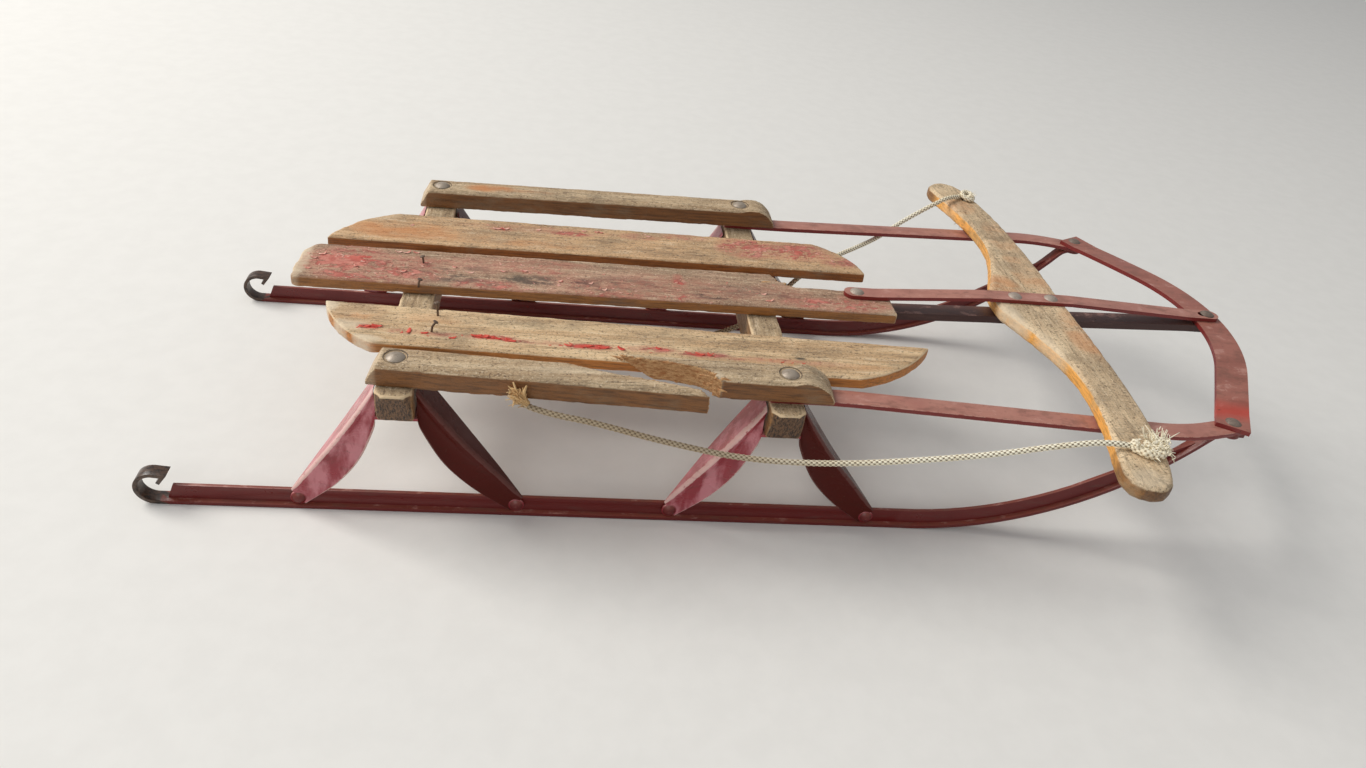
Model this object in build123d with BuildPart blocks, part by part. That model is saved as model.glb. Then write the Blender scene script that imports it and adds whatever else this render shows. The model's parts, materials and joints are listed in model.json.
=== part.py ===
from build123d import *
from math import acos, asin, atan2, cos, degrees, hypot, pi, radians, sin, tan
import os

os.makedirs("parts", exist_ok=True)

# A child's steerable snow sled: slatted wooden deck on steel runners that bend when it is steered.
# X points forward, Y to the sled's left, Z up. The origin is on the floor under the middle.
# Distances along the sled are given from the tip of the tail and turned into X by station().

LENGTH = 960.0
FIT = 0.1            # a shank in its hole, all round
RUN_GAP = 0.3        # a moving face beside a fixed one
THROUGH = 60.0       # a cut longer than all that it goes through


def station(distance):
    return distance - LENGTH / 2


# Benches and what they carry
BENCH_REAR = 203.0
BENCH_FRONT = 502.4
BENCH_WIDTH = 28.0
BENCH_DEPTH = 29.5
BENCH_OVERHANG = 26.0    # bench beyond the middle of a rail
BENCH_TOP = 127.5
BENCH_END_UNDERCUT = 10.0
BENCH_END_CORNER = 7.0
BOARD_THICK = 11.0
BOARD_EDGE = 1.5
RAIL_Y = 152.0
RAIL_WIDTH = 28.0
RAIL_HEIGHT = 19.0
RAIL_EDGE = 3.5
BAR_THICK = 4.0      # flat steel of the side bars and the bumper
BENCH_BOTTOM = BENCH_TOP - BENCH_DEPTH
BENCH_HALF_SPAN = RAIL_Y + BENCH_OVERHANG
BOARD_TOP = BENCH_TOP + BOARD_THICK
SIDE_BAR_SEAT = BENCH_TOP + BAR_THICK

# Runners: an inverted T, curled at the tail and swept up at the nose
RUNNER_Y = 155.7
SOLE_WIDTH = 12.0
SOLE_THICK = 3.0
WEB_THICK = 3.0
WEB_TOP = 16.0
WEB_END = 23.0
WEB_SLANT = 5.0
WEB_TIP = 2.0        # degrees of the sweep left bare by the web, at its foot and at its crest
WEB_TAPER = 22.0
CURL_RADIUS = 13.5
CURL_LIP = 9.0       # straight part of the lip, and how far it falls
CURL_LIP_FALL = 1.0
CURL_RETURN = 4.0    # end of the lip, turned back in, and how far down it ends
CURL_LIP_DROP = 8.0
SWEEP_RADIUS = 314.0
TAB_BEND = 13.2      # reverse bend from the sweep into the tab
TAB_TAIL = 11.0      # tab beyond the rivet
TAB_LEAD = 4.0       # tab before the rivet
TAB_WIDTH = 18.0

# Nose
BUMPER_RADIUS = 184.0
BUMPER_END_SLOPE = 28.5  # degrees turned by the bow, straight from there to its ends
BUMPER_WIDTH = 27.0
BUMPER_RISE = 6.5
BUMPER_FLAT = 12.0       # level part inside the end rivets
BUMPER_END_MARGIN = 8.0
END_RIVET_Y = 163.0
NOSE_STACK = 122.0   # underside of the runner tabs

# Steering
PIVOT = 593.7
BAR_SET_BACK = 198.0     # middle of the steering bar, back from the nose
BAR_RIVETS = (-15.6, 20.3)   # from the middle of the bar
STEER_BAR_THICK = 15.0
STEER_BAR_LIFT = 0.9
STRAP_WIDTH = 16.0
STRAP_THICK = 3.5
CHANNEL_WIDTH = 18.0
CHANNEL_DEPTH = 7.0
CHANNEL_WALL = 2.2
ROPE_HOLE_AHEAD = 11.0
ROPE_HOLE_Y = 224.0
ROPE_HOLE_RADIUS = 4.5

# Rivets and bolts
UPSET_HEAD = 2.0     # thickness of a rivet's flat lower head
UPSET_RADIUS = 5.5
KNEE_RIVET_SHANK = 2.5
KNEE_RIVET_HEAD = 5.5
KNEE_RIVET_DOME = 2.6
STRAP_RIVET_SHANK = 3.0
STRAP_RIVET_HEAD = 6.5
STRAP_RIVET_DOME = 2.6
BOLT_SHANK = 3.0
BOLT_HEAD = 7.2
BOLT_DOME = 2.8
BOLT_PLAY = 0.4          # a bolt in a rail, all round
BOLT_SINK = 1.2          # a bolt's head lies in a shallow round seat
BOLT_SEAT_RADIUS = 8.8
NUT_RADIUS = 5.5
NUT_HEIGHT = 4.5

# Knees
KNEE_THICK = 2.2
KNEE_SEAT = 0.45     # a pressed foot beside the web
KNEE_Y = RUNNER_Y + WEB_THICK / 2 + KNEE_SEAT + KNEE_THICK / 2
KNEE_RIM_Y = 163.0
FLANGE_DEPTH = 27.0
FOOT_HEIGHT = 9.5
FOOT_REAR = -80.0
FOOT_FRONT = 92.0
FOOT_RADIUS = 6.3

SIDES = (("left", 1), ("right", -1))


def bend_radii(points):
    """A bend at each inner point, as large as the two runs beside it allow."""
    radii = []
    for before, corner, after in zip(points, points[1:], points[2:]):
        turn = radians((corner - before).get_angle(after - corner))
        shorter = min((corner - before).length, (after - corner).length)
        radii.append(0.45 * shorter / tan(turn / 2))
    return radii


def rivet(places, shank, reach, head, dome):
    """A shank going down from each place and a domed head on it."""
    ball = (head ** 2 + dome ** 2) / (2 * dome)
    latitude = degrees(asin((ball - dome) / ball))
    with Locations(*places):
        Cylinder(shank, reach, align=(Align.CENTER, Align.CENTER, Align.MAX))
        with Locations((0, 0, dome - ball)):
            Sphere(ball, arc_size1=latitude, align=None)


def lengthwise_edges(part, least):
    """A board's long edges along the sled, above and below."""
    edges = part.faces().filter_by(Axis.Z).edges()
    return edges.filter_by(lambda e: e.length > least and abs(e.tangent_at(0.5).X) > 0.9)


def side_plane(x, y, heading=0.0):
    """Vertical plane through (x, y), its first axis forward and its second up."""
    forward = (cos(radians(heading)), sin(radians(heading)), 0)
    return Plane((x, y, 0), x_dir=forward, z_dir=(forward[1], -forward[0], 0))


# Where the nose lies
bumper_centre = station(LENGTH) - BUMPER_RADIUS - BUMPER_WIDTH / 2
end_slope = radians(BUMPER_END_SLOPE)
bow_end_x = bumper_centre + BUMPER_RADIUS * cos(end_slope)
bow_end_y = BUMPER_RADIUS * sin(end_slope)
end_rivet_x = bow_end_x - (END_RIVET_Y - bow_end_y) * tan(end_slope)
centre_rivet_x = bumper_centre + BUMPER_RADIUS
tab_top = NOSE_STACK + SOLE_THICK
bumper_low = tab_top + BAR_THICK
bumper_high = bumper_low + BAR_THICK
bumper_crown = bumper_high + BUMPER_RISE

# The sweep of a runner ends in a short reverse bend and a level tab under the end rivet
sweep_angle = degrees(acos(1 - NOSE_STACK / (SWEEP_RADIUS + TAB_BEND)))
sweep_run = (SWEEP_RADIUS + TAB_BEND) * sin(radians(sweep_angle))
sweep_start = end_rivet_x - TAB_LEAD - sweep_run
flare = degrees(atan2(END_RIVET_Y - RUNNER_Y, end_rivet_x - sweep_start))
front_reach = hypot(END_RIVET_Y - RUNNER_Y, end_rivet_x - sweep_start)
rear_bolt = station(BENCH_REAR)
front_bolt = station(BENCH_FRONT)
feet = [bolt + foot for bolt in (rear_bolt, front_bolt) for foot in (FOOT_REAR, FOOT_FRONT)]

for name, side in SIDES:
    level = side_plane(0, side * RUNNER_Y)
    front = side_plane(sweep_start, side * RUNNER_Y, side * flare)
    curl_x = station(CURL_RADIUS + SOLE_THICK / 2)
    curl_z = SOLE_THICK / 2 + CURL_RADIUS
    curl_top = curl_z + CURL_RADIUS
    lip = (curl_x + CURL_LIP, curl_top - CURL_LIP_FALL)
    with BuildPart() as runner:
        with BuildSketch(level):
            with BuildLine() as sole_line:
                Line((sweep_start, SOLE_THICK / 2), (curl_x, SOLE_THICK / 2))
                ThreePointArc((curl_x, SOLE_THICK / 2), (curl_x - CURL_RADIUS, curl_z), (curl_x, curl_top))
                Line((curl_x, curl_top), lip)
                Line(lip, (curl_x + CURL_RETURN, curl_top - CURL_LIP_DROP))
            trace(line_width=SOLE_THICK)
        extrude(amount=SOLE_WIDTH / 2, both=True)
        with BuildSketch(level):
            with BuildLine():
                Polyline(
                    (station(WEB_END), SOLE_THICK),
                    (sweep_start, SOLE_THICK),
                    (sweep_start, WEB_TOP),
                    (station(WEB_END + WEB_SLANT), WEB_TOP),
                    close=True,
                )
            make_face()
        extrude(amount=WEB_THICK / 2, both=True)
        with BuildSketch(front):
            with BuildLine():
                sweep_mid = SWEEP_RADIUS - SOLE_THICK / 2
                Line((-1, SOLE_THICK / 2), (0, SOLE_THICK / 2))
                up = TangentArc((0, SOLE_THICK / 2), (
                    sweep_mid * sin(radians(sweep_angle)),
                    SWEEP_RADIUS - sweep_mid * cos(radians(sweep_angle)),
                ), tangent=(1, 0))
                over = TangentArc(up @ 1, (
                    (up @ 1).X + (TAB_BEND + SOLE_THICK / 2) * sin(radians(sweep_angle)),
                    (up @ 1).Y + (TAB_BEND + SOLE_THICK / 2) * (1 - cos(radians(sweep_angle))),
                ), tangent=up % 1)
                Line(over @ 1, (front_reach + TAB_TAIL, (over @ 1).Y))
            trace(line_width=SOLE_THICK)
        extrude(amount=SOLE_WIDTH / 2, both=True)
        with BuildSketch(front):
            with BuildLine():
                low = SWEEP_RADIUS - SOLE_THICK
                high = SWEEP_RADIUS - WEB_TOP
                taper = radians(sweep_angle - WEB_TAPER)
                tip = radians(sweep_angle - WEB_TIP)
                outer = ThreePointArc(
                    (0, SOLE_THICK),
                    (low * sin(tip / 2), SWEEP_RADIUS - low * cos(tip / 2)),
                    (low * sin(tip), SWEEP_RADIUS - low * cos(tip)),
                )
                inner = ThreePointArc(
                    (0, WEB_TOP),
                    (high * sin(taper / 2), SWEEP_RADIUS - high * cos(taper / 2)),
                    (high * sin(taper), SWEEP_RADIUS - high * cos(taper)),
                )
                Line(outer @ 1, inner @ 1)
                Line(outer @ 0, inner @ 0)
            make_face()
        extrude(amount=WEB_THICK / 2, both=True)
        with BuildSketch(Plane.XY.offset(NOSE_STACK)):
            with Locations((end_rivet_x, side * END_RIVET_Y)):
                Circle(TAB_WIDTH / 2)
        extrude(amount=SOLE_THICK)
        with BuildSketch(Plane.XY.offset(NOSE_STACK)):
            with Locations((end_rivet_x, side * END_RIVET_Y)):
                Circle(STRAP_RIVET_SHANK + FIT)
        extrude(amount=SOLE_THICK, mode=Mode.SUBTRACT)
        with BuildSketch(level):
            with Locations(*[(foot, FOOT_HEIGHT) for foot in feet]):
                Circle(KNEE_RIVET_SHANK + FIT)
        extrude(amount=WEB_THICK, both=True, mode=Mode.SUBTRACT)
    runner.part.label = f"runner_{name}"
    export_step(runner.part, f"parts/runner_{name}.step")

# Knee legs, from the bench face down to the runner. Each row is one cross-section: how far the
# crease and the rim lie from the bolt, their heights, the flange's depth and the trough's.
LEG_STATIONS = {
    "rear": (
        # crease out, crease up, rim out, rim up, flange, trough
        (15.6, 123.5, 15.6, 97.1, 27.0, 3.2),
        (30.0, 99.0, 18.0, 84.0, 26.0, 4.2),
        (49.0, 69.0, 31.0, 52.0, 21.0, 4.0),
        (68.0, 42.0, 50.0, 26.0, 11.0, 2.2),
        (85.0, 18.0, 75.0, 4.0, 0.8, 0.3),
    ),
    "front": (
        (15.6, 123.5, 15.6, 97.1, 27.0, 3.2),
        (32.0, 99.0, 19.0, 84.0, 26.0, 4.2),
        (54.0, 69.0, 35.0, 52.0, 21.0, 4.0),
        (77.0, 42.0, 58.0, 26.0, 11.0, 2.2),
        (97.0, 18.0, 87.0, 4.0, 0.8, 0.3),
    ),
}
LEG_TOP = LEG_STATIONS["rear"][0][1]


def leg_section(bolt, way, side, row):
    """Plane and outline of one section of a pressed leg: flange, crease, trough and rim."""
    crease_out, crease_up, rim_out, rim_up, flange, trough = row
    crease = Vector(bolt + way * crease_out, 0, crease_up)
    rim = Vector(bolt + way * rim_out, 0, rim_up)
    across = (crease - rim).normalized()
    middle = (crease + rim) / 2
    half = (crease - rim).length / 2
    skin = KNEE_THICK / 2
    lean = max(0, crease_up - WEB_TOP) / (LEG_TOP - WEB_TOP)
    face = KNEE_Y + (KNEE_RIM_Y - KNEE_Y) * lean
    normal = across.cross(Vector(0, side, 0))
    plane = Plane(origin=(middle.X, side * face, middle.Z), x_dir=tuple(across), z_dir=tuple(normal))
    outside = [(half, -flange), (half, skin), (0, skin - trough), (-half, skin)]
    inside = [(-half, -skin), (0, -skin - trough), (half - 1.4 * KNEE_THICK, -skin - trough / 3)]
    return plane, outside + inside + [(half - KNEE_THICK, -flange)]


saddle_low = BENCH_BOTTOM - KNEE_THICK
saddle_y = KNEE_RIM_Y + KNEE_THICK / 2 - FLANGE_DEPTH / 2
for bench_name, bolt in (("rear", rear_bolt), ("front", front_bolt)):
    for name, side in SIDES:
        with BuildPart() as knee:
            for leg, way in (("rear", -1), ("front", 1)):
                for row in LEG_STATIONS[leg]:
                    section_plane, outline = leg_section(bolt, way, side, row)
                    with BuildSketch(section_plane):
                        with BuildLine():
                            Polyline(*outline, close=True)
                        make_face()
                loft(ruled=True)
            foot_places = [(bolt + FOOT_REAR, FOOT_HEIGHT), (bolt + FOOT_FRONT, FOOT_HEIGHT)]
            with BuildSketch(side_plane(0, side * KNEE_Y)):
                with Locations(*foot_places):
                    Circle(FOOT_RADIUS)
            extrude(amount=KNEE_THICK / 2, both=True)
            with BuildSketch(side_plane(0, side * KNEE_Y)):
                with Locations(*foot_places):
                    Circle(KNEE_RIVET_SHANK + FIT)
            extrude(amount=2 * KNEE_THICK, both=True, mode=Mode.SUBTRACT)
            with BuildSketch(Plane.XY.offset(saddle_low)):
                with Locations((bolt, side * saddle_y)):
                    Rectangle(BENCH_WIDTH + 2 * KNEE_THICK, FLANGE_DEPTH)
                with Locations((bolt, side * RAIL_Y)):
                    Circle(BOLT_SHANK + FIT, mode=Mode.SUBTRACT)
            extrude(amount=KNEE_THICK)
        knee.part.label = f"knee_{bench_name}_{name}"
        export_step(knee.part, f"parts/knee_{bench_name}_{name}.step")

# Rivets through the runner webs, heads outside
for name, side in SIDES:
    head_y = side * (KNEE_Y + KNEE_THICK / 2 + FIT)
    places = [Plane((foot, head_y, FOOT_HEIGHT), x_dir=(1, 0, 0), z_dir=(0, side, 0)) for foot in feet]
    reach = FIT + KNEE_THICK + KNEE_SEAT + WEB_THICK
    with BuildPart() as knee_rivets:
        rivet(places, KNEE_RIVET_SHANK, reach, KNEE_RIVET_HEAD, KNEE_RIVET_DOME)
    knee_rivets.part.label = f"knee_rivets_{name}"
    export_step(knee_rivets.part, f"parts/knee_rivets_{name}.step")

# Benches. Their ends are sawn off sloping in below, with the corners taken off.
for bench_name, bolt in (("rear", rear_bolt), ("front", front_bolt)):
    with BuildPart() as bench:
        with BuildSketch(Plane((bolt, 0, 0), x_dir=(0, 1, 0), z_dir=(1, 0, 0))):
            with BuildLine():
                foot_y = BENCH_HALF_SPAN - BENCH_END_UNDERCUT
                Polyline(
                    (-BENCH_HALF_SPAN, BENCH_TOP),
                    (-foot_y, BENCH_BOTTOM),
                    (foot_y, BENCH_BOTTOM),
                    (BENCH_HALF_SPAN, BENCH_TOP),
                    close=True,
                )
            make_face()
        extrude(amount=BENCH_WIDTH / 2, both=True)
        with BuildSketch(Plane.XY.offset(BENCH_BOTTOM)):
            with Locations((bolt, 0)):
                blank = Rectangle(BENCH_WIDTH, 2 * BENCH_HALF_SPAN)
            chamfer(blank.vertices(), BENCH_END_CORNER)
        extrude(amount=BENCH_DEPTH, mode=Mode.INTERSECT)
        with BuildSketch(Plane.XY.offset(BENCH_BOTTOM)):
            with Locations((bolt, RAIL_Y), (bolt, -RAIL_Y)):
                Circle(BOLT_SHANK + FIT)
        extrude(amount=BENCH_DEPTH, mode=Mode.SUBTRACT)
    bench.part.label = f"bench_{bench_name}"
    export_step(bench.part, f"parts/bench_{bench_name}.step")

# Centre board: rounded tail, and its far front strip broken away
CENTRE_HALF = 30.5
CENTRE_TAIL = 102.0
CENTRE_FRONT = 626.0
CENTRE_TAIL_CORNER = 9.0
CENTRE_TAIL_BOW = 7.0
NECK_EDGE = 8.0
TORN_STEP = 517.0
TORN_TEETH = (
    # ahead of the step, and out beyond the neck's edge
    (2, 17), (7, 15.5), (3, 11), (14, 7.5), (10, 4), (23, 1),
)
centre_round = CENTRE_HALF - CENTRE_TAIL_CORNER
corner_run, corner_out = 0.25 * CENTRE_TAIL_CORNER, CENTRE_HALF - 0.3 * CENTRE_TAIL_CORNER
with BuildPart() as centre_board:
    with BuildSketch(Plane.XY.offset(BENCH_TOP)):
        with BuildLine():
            shoulder = station(CENTRE_TAIL + CENTRE_TAIL_BOW)
            Line((station(CENTRE_FRONT), NECK_EDGE), (station(CENTRE_FRONT), -CENTRE_HALF))
            Line((station(CENTRE_FRONT), -CENTRE_HALF), (shoulder + CENTRE_TAIL_CORNER, -CENTRE_HALF))
            ThreePointArc(
                (shoulder + CENTRE_TAIL_CORNER, -CENTRE_HALF),
                (shoulder + corner_run, -corner_out),
                (shoulder, -centre_round),
            )
            ThreePointArc((shoulder, -centre_round), (station(CENTRE_TAIL), 0), (shoulder, centre_round))
            ThreePointArc(
                (shoulder, centre_round),
                (shoulder + corner_run, corner_out),
                (shoulder + CENTRE_TAIL_CORNER, CENTRE_HALF),
            )
            Polyline(
                (shoulder + CENTRE_TAIL_CORNER, CENTRE_HALF),
                (station(TORN_STEP), CENTRE_HALF),
                *[(station(TORN_STEP + along), NECK_EDGE + out) for along, out in TORN_TEETH],
                (station(CENTRE_FRONT), NECK_EDGE),
            )
        make_face()
    extrude(amount=BOARD_THICK)
    chamfer(lengthwise_edges(centre_board.part, BENCH_FRONT - BENCH_REAR), BOARD_EDGE)
    with BuildSketch(Plane.XY.offset(BENCH_TOP)):
        with Locations((station(PIVOT), 0)):
            Circle(STRAP_RIVET_SHANK + FIT)
    extrude(amount=BOARD_THICK, mode=Mode.SUBTRACT)
centre_board.part.label = "deck_board_centre"
export_step(centre_board.part, "parts/deck_board_centre.step")

# Flank boards. The right one has slipped forward and lies askew.
FLANK_WIDTH = 57.0
FLANK_BOARDS = (
    # name, side, tail tip, tail corner, front corner, front tip, inner edge, skew
    ("left", 1, 114.0, 169.0, 570.0, 614.0, 43.0, 0.0),
    ("right", -1, 134.5, 180.0, 566.0, 640.0, 64.0, 2.1),
)
END_BOW = 6.0
for name, side, tail_tip, tail_corner, front_corner, front_tip, inner, skew in FLANK_BOARDS:
    slope = tan(radians(skew))

    def edge(distance, out):
        return station(distance), side * (inner + out + slope * (distance - tail_tip))

    with BuildPart() as flank_board:
        with BuildSketch(Plane.XY.offset(BENCH_TOP)):
            with BuildLine():
                Line(edge(tail_tip, 0), edge(front_tip, 0))
                ThreePointArc(
                    edge(front_tip, 0),
                    edge((front_tip + front_corner) / 2 + END_BOW, FLANK_WIDTH / 2 + END_BOW),
                    edge(front_corner, FLANK_WIDTH),
                )
                Line(edge(front_corner, FLANK_WIDTH), edge(tail_corner, FLANK_WIDTH))
                ThreePointArc(
                    edge(tail_corner, FLANK_WIDTH),
                    edge((tail_tip + tail_corner) / 2 - END_BOW, FLANK_WIDTH / 2 + END_BOW),
                    edge(tail_tip, 0),
                )
            make_face()
        extrude(amount=BOARD_THICK)
        chamfer(lengthwise_edges(flank_board.part, BENCH_FRONT - BENCH_REAR), BOARD_EDGE)
    flank_board.part.label = f"deck_board_{name}"
    export_step(flank_board.part, f"parts/deck_board_{name}.step")

# Seat rails lie on the rear bench and, in front, on the side bars, so they rise forward.
RAIL_TAIL_MARGIN = 20.0     # rail beyond its bolts
RAIL_NOSE_MARGIN = 36.6
RAIL_TAIL_BEVEL = 8.5       # run of the bevel at the tail, and the height left below it
RAIL_TAIL_LEFT = 4.0
RAIL_NOSE_RUN = 28.0
RAIL_NOSE_LEFT = 4.0
# The right rail is broken along the grain, with a strip lost between its pieces
REAR_BREAK = (
    # distance from the tail, and out from the rail's middle
    (322, -15), (338, -9), (354, -4.5), (375, -2), (393, 1), (416, 5.5), (430, 9), (441, 15),
)
FRONT_BREAK = (
    (364, -15), (372, -9), (393, -5), (406, -4.5), (418, -2.5), (428, -0.5), (436, 3), (444, 8), (441, 10),
    (450, 15),
)
SPLIT_TIP = 364.0           # the front piece's tip is split away below, from here on top
SPLIT_FOOT = 397.0          # to here at the bottom
REAR_SWING = 4.4
FRONT_SWING = 2.7
bench_back = BENCH_REAR - BENCH_WIDTH / 2
rail_pitch = degrees(atan2(BAR_THICK, BENCH_FRONT - BENCH_REAR))
rail_tail = BENCH_REAR - RAIL_TAIL_MARGIN
rail_nose = BENCH_FRONT + RAIL_NOSE_MARGIN
behind, ahead, beside = rail_tail - 1, rail_nose + 1, RAIL_WIDTH / 2 + 1
whole = ((behind, -beside), (ahead, -beside), (ahead, beside), (behind, beside))
RAIL_WOOD = (
    # name, side, bolt it has swung about, swing, outline
    ("left", 1, BENCH_REAR, 0.0, whole),
    ("right_rear", -1, BENCH_REAR, REAR_SWING, ((behind, -beside), *REAR_BREAK, (behind, beside))),
    ("right_front", -1, BENCH_FRONT, FRONT_SWING, ((ahead, -beside), *FRONT_BREAK, (ahead, beside))),
)
rail_rise = tan(radians(rail_pitch))
rail_top = BENCH_TOP + RAIL_HEIGHT
bolt_seats = {at: rail_top + (at - bench_back) * rail_rise - BOLT_SINK for at in (BENCH_REAR, BENCH_FRONT)}
for name, side, bolt_at, swing, outline in RAIL_WOOD:
    floor = Plane((station(bench_back), 0, BENCH_TOP + FIT / 2), x_dir=(1, 0, rail_rise), z_dir=(0, -1, 0))
    swing_axis = Axis((station(bolt_at), side * RAIL_Y, 0), (0, 0, 1))
    with BuildPart() as rail:
        with BuildSketch(floor):
            with BuildLine():
                tail = rail_tail - bench_back
                nose = rail_nose - bench_back
                Line((tail, 0), (nose, 0))
                Line((nose, 0), (nose, RAIL_NOSE_LEFT))
                ThreePointArc(
                    (nose, RAIL_NOSE_LEFT),
                    (nose - RAIL_NOSE_RUN * 0.3, RAIL_HEIGHT * 0.74),
                    (nose - RAIL_NOSE_RUN, RAIL_HEIGHT),
                )
                Line((nose - RAIL_NOSE_RUN, RAIL_HEIGHT), (tail + RAIL_TAIL_BEVEL, RAIL_HEIGHT))
                Line((tail + RAIL_TAIL_BEVEL, RAIL_HEIGHT), (tail, RAIL_TAIL_LEFT))
                Line((tail, RAIL_TAIL_LEFT), (tail, 0))
            make_face()
        extrude(amount=RAIL_WIDTH / 2, both=True)
        top_face = rail.faces().sort_by(Axis.Z)[-1]
        chamfer(top_face.edges().filter_by(lambda e: abs(e.tangent_at(0.5).X) > 0.9), RAIL_EDGE)
        with BuildSketch(Plane.XY.offset(BENCH_TOP - RAIL_HEIGHT)):
            with BuildLine():
                Polyline(*[(station(along), side * out) for along, out in outline], close=True)
            make_face()
        extrude(amount=3 * RAIL_HEIGHT, mode=Mode.INTERSECT)
        for at, seat in bolt_seats.items():
            with BuildSketch(Plane.XY.offset(seat)):
                with Locations((station(at), 0)):
                    Circle(BOLT_SEAT_RADIUS)
            extrude(amount=RAIL_HEIGHT, mode=Mode.SUBTRACT)
            with BuildSketch(Plane.XY.offset(seat)):
                with Locations((station(at), 0)):
                    Circle(BOLT_SHANK + BOLT_PLAY)
            extrude(amount=-2 * RAIL_HEIGHT, mode=Mode.SUBTRACT)
        if outline[1:-1] == FRONT_BREAK:
            with BuildSketch(floor):
                with BuildLine():
                    split_tip, split_foot = SPLIT_TIP - bench_back, SPLIT_FOOT - bench_back
                    Polyline((split_tip, RAIL_HEIGHT), (split_foot, 0), (split_tip, 0), close=True)
                make_face()
            extrude(amount=RAIL_WIDTH, both=True, mode=Mode.SUBTRACT)
    rail_solid = rail.part.moved(Location((0, side * RAIL_Y, 0))).rotate(swing_axis, side * swing)
    rail_solid.label = f"seat_rail_{name}"
    export_step(rail_solid, f"parts/seat_rail_{name}.step")

# Side bars run from the front bench to the nose: level on the bench, then down to the nose
SIDE_BAR_WIDTH = 18.0
SIDE_BAR_STRAIGHT = 42.6    # bar level and straight before it turns out, from the front bolt
SIDE_BAR_WIDEST = 43.4      # its widest place, back from the end rivet
SIDE_BAR_WIDEST_Y = 174.0
SIDE_BAR_TIP = 9.0    # bar beyond the end rivet, and where its level end starts before it
SIDE_BAR_LEVEL = 20.0
SIDE_BAR_INWARD = 3.0
bar_back = front_bolt - BENCH_WIDTH / 2
bar_turn = front_bolt + SIDE_BAR_STRAIGHT
bar_tip_x = end_rivet_x + SIDE_BAR_TIP
seat_z = BENCH_TOP + BAR_THICK / 2
end_z = tab_top + BAR_THICK / 2
for name, side in SIDES:
    bar_plan = [
        Vector(bar_back, side * RAIL_Y),
        Vector(bar_turn, side * RAIL_Y),
        Vector(end_rivet_x - SIDE_BAR_WIDEST, side * SIDE_BAR_WIDEST_Y),
        Vector(bar_tip_x, side * (END_RIVET_Y - SIDE_BAR_INWARD)),
    ]
    with BuildPart() as side_bar:
        with BuildSketch(side_plane(0, 0)):
            with BuildLine():
                Polyline(
                    (bar_back, seat_z),
                    (bar_turn, seat_z),
                    (end_rivet_x - SIDE_BAR_LEVEL, end_z),
                    (bar_tip_x + SIDE_BAR_LEVEL, end_z),
                )
            trace(line_width=BAR_THICK)
        extrude(amount=2 * RAIL_Y, both=True)
        with BuildSketch(Plane.XY.offset(tab_top - BAR_THICK)):
            with BuildLine():
                FilletPolyline(*bar_plan, radius=bend_radii(bar_plan))
            trace(line_width=SIDE_BAR_WIDTH)
        extrude(amount=5 * BAR_THICK, mode=Mode.INTERSECT)
        with BuildSketch(Plane.XY.offset(tab_top - BAR_THICK)):
            with Locations((end_rivet_x, side * END_RIVET_Y)):
                Circle(STRAP_RIVET_SHANK + FIT)
            with Locations((front_bolt, side * RAIL_Y)):
                Circle(BOLT_SHANK + FIT)
        extrude(amount=5 * BAR_THICK, mode=Mode.SUBTRACT)
    side_bar.part.label = f"side_bar_{name}"
    export_step(side_bar.part, f"parts/side_bar_{name}.step")

# Carriage bolts through rails and benches, nuts under the knees
bolt_low = saddle_low - NUT_HEIGHT
with BuildPart() as seat_bolts:
    for at, seat_floor in bolt_seats.items():
        seat = seat_floor + BOLT_PLAY
        for name, side in SIDES:
            rivet([(station(at), side * RAIL_Y, seat)], BOLT_SHANK, seat - saddle_low, BOLT_HEAD, BOLT_DOME)
            with BuildSketch(Plane.XY.offset(bolt_low)):
                with Locations((station(at), side * RAIL_Y)):
                    RegularPolygon(NUT_RADIUS, 6)
            extrude(amount=NUT_HEIGHT)
seat_bolts.part.label = "seat_bolts"
export_step(seat_bolts.part, "parts/seat_bolts.step")

# Steering bar: one shaped board across the sled
bar_low = SIDE_BAR_SEAT - STEER_BAR_LIFT
bar_high = bar_low + STEER_BAR_THICK
STEER_BAR_EDGE = 3.0
BAR_OUTLINE = (
    # distance ahead of the bar's middle, Y; rear edge, tip and front edge of one arm
    (-33.5, 18), (-26, 36), (-17, 60), (-9.5, 82), (-4.5, 104), (-2.5, 126), (-3, 147), (-5.5, 168),
    (-9.5, 190), (-14.5, 212), (-20, 232), (-23.5, 248), (-21.5, 259), (-15, 265.5), (-5.5, 268.5),
    (3, 267), (10.5, 261), (16.5, 250), (21.5, 233), (25.5, 214), (29, 193), (32, 168), (34.5, 135),
    (36, 100), (36.5, 60), (36, 30),
)
BAR_HALF_WIDTH = 35.5
bar_x = station(LENGTH - BAR_SET_BACK)
rope_hole_x = bar_x + ROPE_HOLE_AHEAD
left_arm = [(bar_x + ahead, out) for ahead, out in BAR_OUTLINE]
right_arm = [(x, -out) for x, out in reversed(left_arm)]
with BuildPart() as steering_bar:
    with BuildSketch(Plane.XY.offset(bar_low)):
        with BuildLine():
            Polyline(
                (bar_x - BAR_HALF_WIDTH, 0), *left_arm, (bar_x + BAR_HALF_WIDTH, 0), *right_arm, close=True
            )
        make_face()
    extrude(amount=STEER_BAR_THICK)
    chamfer(steering_bar.faces().filter_by(Axis.Z).edges(), STEER_BAR_EDGE)
    with BuildSketch(Plane.XY.offset(bar_low)):
        with Locations((rope_hole_x, ROPE_HOLE_Y), (rope_hole_x, -ROPE_HOLE_Y)):
            Circle(ROPE_HOLE_RADIUS)
        with Locations(*[(bar_x + ahead, 0) for ahead in BAR_RIVETS]):
            Circle(STRAP_RIVET_SHANK + FIT)
    extrude(amount=STEER_BAR_THICK, mode=Mode.SUBTRACT)
steering_bar.part.label = "steering_bar"
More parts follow.
